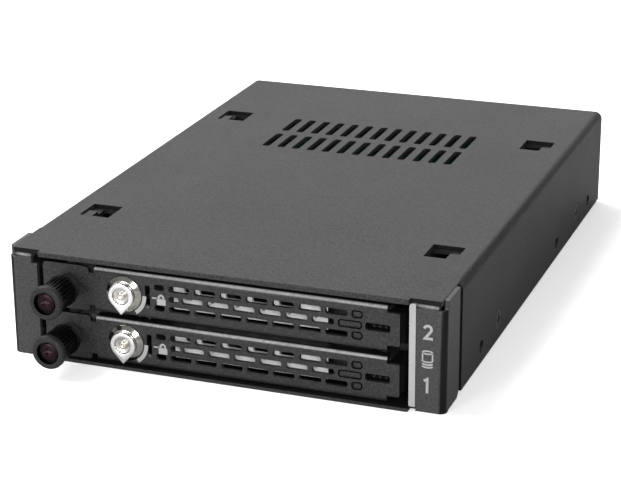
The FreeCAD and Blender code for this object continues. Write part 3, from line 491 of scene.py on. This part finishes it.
def tray_finish(name):
    m, tree, shader = blank_material(name, 0.5, 0.1)
    skin = use_group(tree, plating, Blotch_size_mm=2.0, Line_size_mm=0.05)
    coat = use_group(tree, powder_texture, Grain_size_mm=0.32, Smudge_size_mm=24.0)
    bare = use_group(tree, make_bare_front())
    bright = blend_colours(tree, skin["Blotch"], (0.74, 0.74, 0.74), (0.88, 0.88, 0.88))
    # Painted shade: outside the bright panel the tray is near-black, standing in for shade inside
    # the cage and behind the panel's holes.
    black = blend_colours(tree, coat["Speckle"], (0.012, 0.012, 0.012), (0.024, 0.024, 0.024))
    link(tree, blend_colours(tree, bare["Mask"], black, bright), shader["Base Color"])
    raise_surface(tree, shader, skin["Lines"], 0.004, 0.5)
    return m


tray_zinc_and_shade = tray_finish("tray_finish")
turned_steel = plated("turned_steel", (0.45, 0.45, 0.46), (0.6, 0.6, 0.61), 0.28, 0.03)
for bay in bays:
    dress(["tray_%d" % bay], tray_zinc_and_shade, 0.06)
    dress(["hinge_pin_%d" % bay], turned_steel, 0.1)
    dress(["thumb_nut_%d" % bay], zinc, 0.1)


# ------------------------------------------------------------------ levers
# A lever closes each bay: 0.9 mm steel sheet with pierced air slots and both long edges folded
# back, black coated, riveted to a black hook block that turns on the hinge pin. Three small ribs
# stand in its finger slot.

# Painted highlight along the levers' upper bends; painted shade on their side faces and on the
# faces that face up in their top folds.
lever_coat = powder_coat("lever_coat", (0.014, 0.014, 0.0145), (0.04, 0.04, 0.0405), 0.36,
                         bend_highlight_colour=(0.42, 0.42, 0.415), gloss=0.25, shade_mask="Edges")
# Painted shade: the hook block is darker than any other black part, so the pocket behind the
# finger slot reads as deep shade.
hook_shade_black = powder_coat("hook_moulding_shade", (0.004, 0.004, 0.004), (0.008, 0.008, 0.008), 0.5,
                         gloss=0.05)
grip_rib = powder_coat("grip_rib", (0.012, 0.012, 0.012), (0.04, 0.04, 0.04), 0.4, gloss=0.3)
first_rib, rib_step, rib_width = 6.3, 1.35, 0.4
for bay in bays:
    dress(["faceplate_%d" % bay], lever_coat, 0.07)
    dress(["eject_hook_%d" % bay], hook_shade_black, 0.15)
    dress(["thumb_ferrule_%d" % bay], black_screw, 0.1)
    x0, x1, y0, y1, z0, z1 = millimetres("faceplate_%d" % bay)
    middle = (z0 + z1) / 2
    ribs = []
    for k in range(3):
        x = x1 - first_rib + rib_step * k
        ribs.append((x, x + rib_width, y0 + 1.3, y0 + 2.0, middle - 0.55, middle - 0.05))
    bars("grip_ribs_%d" % bay, ribs, 0.12, grip_rib, "lever_%d" % bay)


# ------------------------------------------------------------------ key locks
# Each lock is die-cast and satin nickel plated: a bevelled bezel with a threaded body, and a
# turning core whose dial has a pointer and a tubular key socket round a fixed pin.

def make_turning_marks():
    """Fine rings round the piece's own Y axis, from the lathe, and a little tarnish."""
    tree, given, out = group_tree("turning_marks", [("Ring pitch mm", 0.12)],
                                  ["Rings", "Tarnish"])
    tarnish_scale = 420.0
    spot = spot_on_piece(tree)
    x, y, z = axes(tree, spot)
    square = math_node(tree, "ADD", product(tree, x, x), product(tree, z, z))
    turns = math_node(tree, "DIVIDE", 1000.0 * math.tau, given["Ring pitch mm"])
    wave = math_node(tree, "SINE", product(tree, math_node(tree, "SQRT", square), turns))
    tarnish = noise(tree, spot, tarnish_scale, 4.0, 0.6)
    link(tree, spread(tree, wave, -1.0, 1.0), out["Rings"])
    link(tree, spread(tree, tarnish, 0.4, 0.75), out["Tarnish"])
    return tree


turning_marks = make_turning_marks()


def turned_metal(name, bright, dull, roughness, pitch_mm, depth_mm):
    m, tree, shader = blank_material(name, roughness, 1.0)
    skin = use_group(tree, turning_marks, Ring_pitch_mm=pitch_mm)
    link(tree, blend_colours(tree, skin["Tarnish"], bright, dull), shader["Base Color"])
    link(tree, spread(tree, skin["Tarnish"], 0.0, 1.0, roughness - 0.04, roughness + 0.1),
         shader["Roughness"])
    raise_surface(tree, shader, skin["Rings"], depth_mm, 0.4)
    return m


def ring_strips(rings, steps, closed_loop=False):
    """Faces between rings of points, given as (first index, count); a ring of one point closes
    an end."""
    faces = []
    pairs = list(zip(rings, rings[1:]))
    if closed_loop:
        pairs.append((rings[-1], rings[0]))
    for (a, many_a), (b, many_b) in pairs:
        for k in range(steps):
            n = (k + 1) % steps
            if many_a == 1:
                faces.append([a, b + k, b + n])
            elif many_b == 1:
                faces.append([a + k, b, a + n])
            else:
                faces.append([a + k, b + k, b + n, a + n])
    return faces


def ring_points(profile, steps):
    """Points and rings of a (y, radius) profile turned about Y; a radius may be a function of
    the angle."""
    points, rings = [], []
    for y, radius in profile:
        count = steps if radius else 1
        rings.append((len(points), count))
        for k in range(count):
            angle = math.tau * k / steps
            r = radius(angle) if callable(radius) else radius
            points.append((r * math.cos(angle), y, r * math.sin(angle)))
    return points, rings


def turned(name, profile, centre, steps, material, body, closed_loop=False, smooth_deg=35):
    """A piece turned about Y from a profile in mm about centre."""
    points, rings = ring_points(profile, steps)
    faces = ring_strips(rings, steps, closed_loop)
    return put(name, points, faces, material, body, smooth_deg, centre)


def off_axis(piece, vertex):
    """How far a point lies from the piece's own Y axis, in mm."""
    point = piece.data.vertices[vertex].co
    return 1000 * math.hypot(point.x, point.z)


dial_nickel = turned_metal("dial_nickel", (0.88, 0.87, 0.86), (0.66, 0.65, 0.64), 0.3,
                           0.14, 0.006)
bezel_nickel = turned_metal("bezel_nickel", (0.44, 0.425, 0.4), (0.26, 0.25, 0.23), 0.16,
                            0.2, 0.01)
socket_nickel = turned_metal("socket_nickel", (0.62, 0.61, 0.6), (0.4, 0.39, 0.38), 0.26,
                             0.14, 0.006)
pin_brass = turned_metal("key_pin_brass", (0.8, 0.76, 0.68), (0.52, 0.49, 0.43), 0.25,
                         0.1, 0.004)

dial_radius = 3.0
pointer_reach = 4.4
pointer_blunt = 0.12
lean = math.acos(dial_radius / pointer_reach)


def teardrop(inset):
    """The dial's outline: a circle with a pointer down, drawn in by inset."""
    def radius(angle):
        off = abs((angle + math.pi / 2 + math.pi) % math.tau - math.pi)
        reach = dial_radius
        if off < lean:
            reach = min(dial_radius / math.cos(lean - off), pointer_reach - pointer_blunt)
        return reach - inset
    return radius


for bay in bays:
    x0, x1, y0, y1, z0, z1 = millimetres("lock_barrel_%d" % bay)
    centre = ((x0 + x1) / 2, 0.0, (z0 + z1) / 2)
    rim, tube, bore = (x1 - x0) / 2, 3.2, 2.35
    slope = [(y0 + depth, rim - inset) for depth, inset in (
        (0.0, 1.12), (0.02, 1.04), (0.07, 0.95), (0.6, 0.17), (0.68, 0.07), (0.78, 0.01),
        (0.85, 0.0), (0.94, 0.0), (1.0, 0.05))]
    shell = [(y0, bore), *slope, (y0 + 1.0, tube)]
    thread_pitch, thread_depth = 0.5, 0.16
    y = y0 + 1.3
    while y < y1 - 0.3:
        shell += [(y, tube), (y + 0.2, tube - thread_depth), (y + 0.4, tube)]
        y += thread_pitch
    shell += [(y1, tube - 0.12), (y1, bore)]
    bezel = turned("lock_bezel_%d" % bay, shell, centre, 96, bezel_nickel, "lever_%d" % bay,
                   closed_loop=True)
    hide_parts("lock_barrel_%d" % bay)

    x0, x1, y0, y1, z0, z1 = millimetres("lock_core_%d" % bay)
    pin, socket, neck, tail = 0.85, 1.95, 2.3, 1.3
    seat, neck_end = y0 + 1.0, 10.0
    key_way = [(y0 + depth, radius) for depth, radius in (
        (0.5, 0), (0.5, 0.28), (0.12, 0.3), (0.04, 0.42), (0.05, 0.66), (0.14, 0.8), (0.24, pin),
        (0.75, pin), (0.75, 1.9), (0.7, socket), (0.12, socket), (0.03, 1.99), (0.0, 2.1))]
    brim = [(y0 + depth, teardrop(inset)) for depth, inset in (
        (0.0, 0.3), (0.02, 0.18), (0.08, 0.07), (0.18, 0.01), (0.3, 0.0))]
    core = [*key_way, *brim, (seat - 0.1, teardrop(0.0)), (seat, teardrop(0.08)), (seat, neck),
            (neck_end, neck), (neck_end, tail), (y1 - 0.15, tail), (y1, 1.15), (y1, 0)]
    dial = turned("lock_dial_%d" % bay, core, centre, 192, dial_nickel, "key_core_%d" % bay,
                  smooth_deg=50)
    dial.data.materials.append(socket_nickel)
    dial.data.materials.append(pin_brass)
    for face in dial.data.polygons:
        reach = max(off_axis(dial, v) for v in face.vertices)
        if face.center.y < seat / 1000:
            face.material_index = 2 if reach < pin + 0.01 else 1 if reach < socket + 0.01 else 0
    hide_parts("lock_core_%d" % bay)
    dress(["lock_nut_%d" % bay, "lock_cam_%d" % bay], zinc, 0.12)
    dress(["cam_nut_%d" % bay], turned_steel, 0.12)


# ------------------------------------------------------------------ thumbscrews
# A black knurled knob with a smooth ring in front is pressed on a steel screw, whose cross
# recessed head sits in the ring. A clip keeps the screw in the lever's bush.

def cross_outline(arm, reach, draw):
    """A cross with rounded ends, drawn in by a factor, as (x, z) points."""
    quarter_points = ((arm, -arm), (reach * 0.94, -arm), (reach, -arm * 0.5), (reach, arm * 0.5),
                      (reach * 0.94, arm))
    points = []
    for quarter in range(4):
        c, s = math.cos(quarter * math.pi / 2), math.sin(quarter * math.pi / 2)
        points += [((u * c - v * s) * draw, (u * s + v * c) * draw) for u, v in quarter_points]
    return points


knob_black = turned_metal("black_anodised", (0.014, 0.014, 0.0145), (0.024, 0.024, 0.024), 0.3,
                          0.1, 0.004)
screw_red = turned_metal("screw_head", (0.022, 0.014, 0.0155), (0.014, 0.006, 0.0075), 0.36,
                         0.16, 0.006)
recess_red = moulded("recess_lacquer", (0.01, 0.001, 0.002), (0.05, 0.006, 0.012), 0.35)
ring_black = powder_coat("ring_finish", (0.016, 0.016, 0.016), (0.034, 0.034, 0.034), 0.5)
knurl_ribs, knurl_depth, rib_steps = 26, 0.3, 12


def ribbed(outer, depth):
    """Radius of the knurl: rounded ribs with narrow grooves between."""
    def radius(angle):
        return outer - depth * (1 - abs(math.sin(knurl_ribs * angle / 2)) ** 0.7)
    return radius


screw_pitch, screw_root, screw_ridge = 0.5, 1.2, 0.25


def threaded(y):
    """Radius of the screw thread at the depth y."""
    def radius(angle):
        phase = (y / screw_pitch - angle / math.tau) % 1.0
        return screw_root + screw_ridge * abs(2 * phase - 1)
    return radius


for bay in bays:
    body = "screw_turn_%d" % bay
    x0, x1, y0, y1, z0, z1 = millimetres("thumb_knob_%d" % bay)
    centre = ((x0 + x1) / 2, 0.0, (z0 + z1) / 2)
    bore, recess, ring, grip, flange = 1.46, 2.58, 3.85, 3.45, 3.6
    ring_back = y0 + 1.9
    grip_back = y1 - 0.6
    profile = [(y0 + 1.2, bore), (y0 + 1.2, recess), (y0 + 0.2, recess), (y0 + 0.06, 2.62),
               (y0, 2.76), (y0, 3.25), (y0 + 0.05, 3.48), (y0 + 0.18, 3.67), (y0 + 0.36, 3.8),
               (y0 + 0.6, ring), (ring_back - 0.45, ring), (ring_back - 0.2, 3.78),
               (ring_back - 0.05, 3.62), (ring_back, 3.45),
               (ring_back + 0.05, ribbed(3.4, 0.12)), (ring_back + 0.3, ribbed(grip, knurl_depth)),
               (grip_back - 0.3, ribbed(grip, knurl_depth)), (grip_back, ribbed(3.4, 0.12)),
               (grip_back, 3.5), (grip_back + 0.1, flange), (y1 - 0.1, flange), (y1, 3.5),
               (y1, bore)]
    knob = turned("knob_%d" % bay, profile, centre, knurl_ribs * rib_steps, knob_black, body,
                  closed_loop=True, smooth_deg=40)
    knob.data.materials.append(ring_black)
    for face in knob.data.polygons:
        if face.center.y < ring_back / 1000 and off_axis(knob, face.vertices[0]) > recess + 0.02:
            face.material_index = 1
    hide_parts("thumb_knob_%d" % bay)

    x0, x1, y0, y1, z0, z1 = millimetres("thumb_screw_%d" % bay)
    seat = y0 + 0.75
    head_steps, cross_count = 40, 20
    crown = [(seat, 2.1), (y0 + 0.3, 2.15), (y0 + 0.12, 2.08), (y0 + 0.03, 1.9)]
    points, rings = ring_points(crown, head_steps)
    faces = ring_strips(rings, head_steps)
    rim_loop = rings[-1][0]
    top_cross = len(points)
    deep_cross = top_cross + cross_count
    for depth, draw in ((0.0, 1.0), (0.45, 0.55)):
        points += [(x, y0 + depth, z) for x, z in cross_outline(0.42, 1.4, draw)]
    for k in range(cross_count):
        n = (k + 1) % cross_count
        faces.append([top_cross + k, top_cross + n, deep_cross + n, deep_cross + k])
    faces.append([deep_cross + k for k in range(cross_count)])
    for k in range(head_steps):
        n = (k + 1) % head_steps
        a, b = k // 2, ((k + 1) // 2) % cross_count
        inner = [top_cross + b] if a == b else [top_cross + b, top_cross + a]
        faces.append([rim_loop + k, rim_loop + n, *inner])
    head = put("screw_head_%d" % bay, points, faces, screw_red, body, 30, centre)
    head.data.materials.append(recess_red)
    for face in head.data.polygons:
        deepest = max(head.data.vertices[v].co.y for v in face.vertices)
        in_cross = all(v >= top_cross for v in face.vertices)
        face.material_index = int(in_cross and deepest > (y0 + 0.2) / 1000)

    shank = [(seat - 0.02, 1.0), (seat, 1.45), (2.3, 1.45)]
    y = 2.4
    while y < y1 - 0.4:
        shank.append((y, threaded(y)))
        y += screw_pitch / 6
    shank += [(y1 - 0.35, screw_root), (y1, 0.95), (y1, 0)]
    turned("screw_shank_%d" % bay, shank, centre, 32, turned_steel, body,
           smooth_deg=50)
    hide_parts("thumb_screw_%d" % bay)
    dress(["retaining_ring_%d" % bay], turned_steel, 0.08)


# ------------------------------------------------------------------ ears and the light bar
# Two bent steel ears close the front corners, riveted to the floor plate, with thin tabs behind
# them that close the joint with the cover's sides and the floor. A frosted acrylic strip stands
# along the right ear's inner edge.

# Painted highlight along the ears' top bends; painted shade on their upright front corners.
ear_coat = powder_coat("ear_coat", (0.036, 0.036, 0.0365), (0.068, 0.068, 0.0685), 0.4,
                       bend_highlight_colour=(0.34, 0.34, 0.335), shade_mask="Corners")
dress(["left_ear", "right_ear"], ear_coat, 0.08)
dress(["light_bar"], acrylic, 0.12)
tab_outer, tab_inner, tab_flange, tab_back = 49.78, 49.35, 43.4, 12.4
tabs = []
for side in (-1, 1):
    tabs.append((*sorted((side * tab_outer, side * tab_inner)), 8.6, tab_back, 2.2, 24.0))
    tabs.append((*sorted((side * tab_outer, side * tab_flange)), 9.95, tab_back, 0.9, 1.3))
bars("ear_tabs", tabs, 0.05, shell_coat, "cage")


# ------------------------------------------------------------------ top cover and side screws
# One folded sheet makes the top and both sides, with a hemmed lip in front and two rows of air
# slots. Countersunk cross recessed screws join its sides to the floor plate's flanges.

# Painted shade darkens forward-facing faces behind the lip, as at the sheet's front edge over the
# ears.
cover_coat = powder_coat("cover_coat", shell_dark, shell_light, shell_rough, shade_mask="Front edges",
                         front_from=-0.0005)
dress(["top_cover"], cover_coat, 0.08)
dress(["cover_screws"], black_screw, 0.06)


# ------------------------------------------------------------------ printed marks
# Pad-printed in pale grey ink: bay numbers and a drive symbol on the right ear, and on each lever
# a padlock, a dash and the arc that the lock's pointer sweeps. Each lever also has a small smoked
# lens, and lines of painted shade round its three blanked slots.

def ink(name, colour):
    m, tree, shader = blank_material(name, 0.55)
    cover = spread(tree, noise(tree, spot_on_piece(tree), 5200.0, 2.0, 0.6), 0.25, 0.5)
    worn = tuple(c * 0.72 for c in colour)
    link(tree, blend_colours(tree, cover, worn, colour), shader["Base Color"])
    return m


def ribbon(path, width, closed):
    """Left and right edges of a line of even width along (x, z) points, with mitred corners."""
    count = len(path)
    left, right_side = [], []
    for k in range(count):
        here = Vector(path[k])
        sides = []
        if k or closed:
            sides.append((here - Vector(path[k - 1])).normalized())
        if k < count - 1 or closed:
            sides.append((Vector(path[(k + 1) % count]) - here).normalized())
        along = sum(sides, Vector((0.0, 0.0))).normalized()
        across = Vector((-along.y, along.x))
        reach = width / 2 / max(0.35, abs(across.dot(Vector((-sides[0].y, sides[0].x)))))
        left.append(here + across * reach)
        right_side.append(here - across * reach)
    return left, right_side


def print_lines(name, lines, y, material, body):
    """Lines just before the face at y, each (points, width, closed) in mm."""
    ink_front, ink_back = -0.025, -0.002
    points, faces = [], []
    for path, width, closed in lines:
        left, right_side = ribbon(path, width, closed)
        count = len(path)
        base = len(points)
        for depth in (ink_front, ink_back):
            points += [(p.x, y + depth, p.y) for p in left + right_side]
        front_left, front_right, back_left, back_right = (base + count * i for i in range(4))
        strips = ((front_left, front_right), (back_left, back_right), (front_left, back_left),
                  (front_right, back_right))
        for k in range(count if closed else count - 1):
            n = (k + 1) % count
            for a, b in strips:
                faces.append([a + k, a + n, b + n, b + k])
        if not closed:
            for k in (0, count - 1):
                faces.append([front_left + k, front_right + k, back_right + k, back_left + k])
    return put(name, points, faces, material, body, 20)


def arc(cx, cz, rx, rz, start, end, steps):
    """Points along part of an ellipse, from start to end in degrees."""
    angles = [math.radians(start + (end - start) * k / steps) for k in range(steps + 1)]
    return [(cx + rx * math.cos(a), cz + rz * math.sin(a)) for a in angles]


def clipped_box(x0, x1, z0, z1, clip):
    """A rectangle with its corners clipped off."""
    return [(x0 + clip, z0), (x1 - clip, z0), (x1, z0 + clip), (x1, z1 - clip),
            (x1 - clip, z1), (x0 + clip, z1), (x0, z1 - clip), (x0, z0 + clip)]


pale_ink = ink("pale_ink", (0.28, 0.28, 0.276))
# Painted shade: near-black lines round the recesses of the blanked slots.
painted_groove_shade = powder_coat("painted_groove_shade", (0.002, 0.002, 0.002), (0.004, 0.004, 0.004), 0.6, gloss=0.0)
smoked = clear_moulding("smoked_lens", (0.05, 0.05, 0.052), 0.35, 0.5)
ear_face, mark_x, stroke = 0.0, 46.75, 0.56

two = arc(mark_x, 18.95, 0.78, 0.78, 170, -35, 14) + [(46.15, 16.9), (47.85, 16.9)]
print_lines("number_2", [(two, stroke, False)], ear_face, pale_ink, "cage")
one = [(46.0, 7.25), (mark_x, 7.72), (mark_x, 4.5)]
print_lines("number_1", [(one, stroke, False)], ear_face, pale_ink, "cage")

drum_half, drum_rise, drum_stroke = 1.08, 0.34, 0.32
drum_top = arc(mark_x, 13.75, drum_half, drum_rise, 0, 360, 24)[:-1]
drum_side = [(mark_x - drum_half, 13.7), (mark_x - drum_half, 11.9),
             *arc(mark_x, 11.9, drum_half, drum_rise, 180, 360, 12), (mark_x + drum_half, 13.7)]
drum = [(drum_top, drum_stroke, True), (drum_side, drum_stroke, False)]
for z in (11.3, 10.7):
    drum.append((arc(mark_x, z, drum_half, drum_rise, 180, 360, 12), 0.38, False))
print_lines("drive_symbol", drum, ear_face, pale_ink, "cage")

padlock_x, padlock_half, shackle_half = -13.85, 1.03, 0.56
grip_room, row_room, row_rise, row_slots, slot_web = 7.6, 2.89, 2.4, 7, 1.03
lock_to_row, lock_to_middle_row = 10.6, 13.6
blank_length, blank_half, blank_margin, blank_clip, blank_stroke = 2.1, 0.75, 0.05, 0.35, 0.3
for bay in bays:
    body = "lever_%d" % bay
    x0, x1, y0, y1, z0, z1 = millimetres("lock_barrel_%d" % bay)
    cx, cz = (x0 + x1) / 2, (z0 + z1) / 2
    plate_right, plate_face = millimetres("faceplate_%d" % bay)[1:3]

    lock_body = [(padlock_x - padlock_half, cz - 0.87), (padlock_x + padlock_half, cz - 0.87)]
    shackle = [(padlock_x - shackle_half, cz - 0.2), (padlock_x - shackle_half, cz + 0.05),
               *arc(padlock_x, cz + 0.05, shackle_half, 0.66, 180, 0, 10),
               (padlock_x + shackle_half, cz - 0.2)]
    padlock = [(lock_body, 1.46, False), (shackle, 0.42, False)]
    print_lines("padlock_%d" % bay, padlock, plate_face, pale_ink, body)
    dash = [(-16.05, cz - 0.1), (-15.0, cz - 0.1)]
    print_lines("dash_%d" % bay, [(dash, 0.32, False)], plate_face, pale_ink, body)
    sweep = arc(cx, cz, 4.85, 4.85, 0, -57, 16)
    print_lines("lock_arc_%d" % bay, [(sweep, 0.9, False)], plate_face, pale_ink, body)

    dot = [(-0.06, 0), (-0.05, 0.2), (-0.02, 0.3), (0.02, 0.34)]
    turned("bay_lens_%d" % bay, dot, (-17.1, plate_face, cz - 2.5), 24, smoked, body)

    row_end = plate_right - grip_room - row_room
    pitch = (row_end - cx - lock_to_row) / row_slots
    middle_end = cx + lock_to_middle_row + (row_slots - 1) * pitch
    shade_outlines = []
    for x, z, length in ((row_end, cz + row_rise, blank_length),
                         (row_end, cz - row_rise, blank_length),
                         (middle_end, cz, pitch - slot_web)):
        outline = clipped_box(x - blank_margin, x + length + blank_margin, z - blank_half,
                              z + blank_half, blank_clip)
        shade_outlines.append((outline, blank_stroke, True))
    print_lines("blank_shade_lines_%d" % bay, shade_outlines, plate_face, painted_groove_shade, body)


# ------------------------------------------------------------------ floor, light and camera
# A plain pale floor, four soft lights and an even white surround. The floor is seen pale, but
# sends less light back up, so the cage's sides and underside stay dark.

def floor():
    reach, bounce, glow = 4.0, (0.55, 0.55, 0.55), (0.3, 0.3, 0.3)
    corners = ((-reach, -reach, 0.0), (reach, -reach, 0.0), (reach, reach, 0.0),
               (-reach, reach, 0.0))
    mesh = bpy.data.meshes.new("studio_floor")
    mesh.from_pydata(corners, [], [(0, 1, 2, 3)])
    ground = bpy.data.objects.new("studio_floor", mesh)
    bpy.context.scene.collection.objects.link(ground)
    m, tree, shader = blank_material("pale_floor", 0.9)
    pale = blend_colours(tree, noise(tree, spot_on_piece(tree), 3.0), (0.9, 0.9, 0.9),
                         (0.92, 0.92, 0.92))
    seen = shader_node(tree, "ShaderNodeLightPath")["Is Camera Ray"]
    link(tree, blend_colours(tree, seen, bounce, pale), shader["Base Color"])
    shader["Emission Color"].default_value = (*glow, 1.0)
    link(tree, seen, shader["Emission Strength"])
    shader["Specular IOR Level"].default_value = 0.0
    mesh.materials.append(m)


def soft_light(name, place, aim, size, power):
    lamp = bpy.data.lights.new(name, "AREA")
    lamp.shape = "RECTANGLE"
    lamp.size, lamp.size_y = size
    lamp.energy = power
    holder = bpy.data.objects.new(name, lamp)
    holder.location = place
    holder.rotation_euler = (Vector(aim) - Vector(place)).to_track_quat("-Z", "Y").to_euler()
    bpy.context.scene.collection.objects.link(holder)


floor()
cage_middle, cage_front = (0.0, 0.06, 0.0), (0.0, 0.0, 0.01)
soft_light("top_light", (-0.8, 0.25, 1.1), cage_middle, (1.0, 1.0), 27.0)
soft_light("back_light", (-0.5, 1.3, 0.7), cage_middle, (1.4, 0.7), 7.5)
soft_light("left_light", (-0.3, -0.9, 0.2), cage_front, (0.3, 0.3), 5.0)
soft_light("front_light", (0.38, -0.82, 0.41), cage_front, (0.22, 0.22), 7.2)

surround = bpy.data.worlds.new("surround")
surround.use_nodes = True
background = surround.node_tree.nodes["Background"].inputs
background["Color"].default_value = (1.0, 1.0, 1.0, 1.0)
background["Strength"].default_value = 0.35
bpy.context.scene.world = surround
bpy.context.scene.view_settings.view_transform = "Standard"

lens = bpy.data.cameras.new("camera")
lens.lens = 113.462
lens.sensor_width = 36.0
lens.clip_start = 0.01
turn, tilt, roll = math.radians(20.515), math.radians(20.444), math.radians(-0.434)
forward = Vector((-math.sin(turn) * math.cos(tilt), math.cos(turn) * math.cos(tilt),
                  -math.sin(tilt)))
level = Vector((math.cos(turn), math.sin(turn), 0.0))
rising = level.cross(forward)
right = level * math.cos(roll) + rising * math.sin(roll)
up = rising * math.cos(roll) - level * math.sin(roll)
camera = bpy.data.objects.new("camera", lens)
bpy.context.scene.collection.objects.link(camera)
place = Matrix.Translation(Vector((0.15497, -0.35815, 0.17588)))
camera.matrix_world = place @ Matrix((right, up, -forward)).transposed().to_4x4()
bpy.context.scene.camera = camera
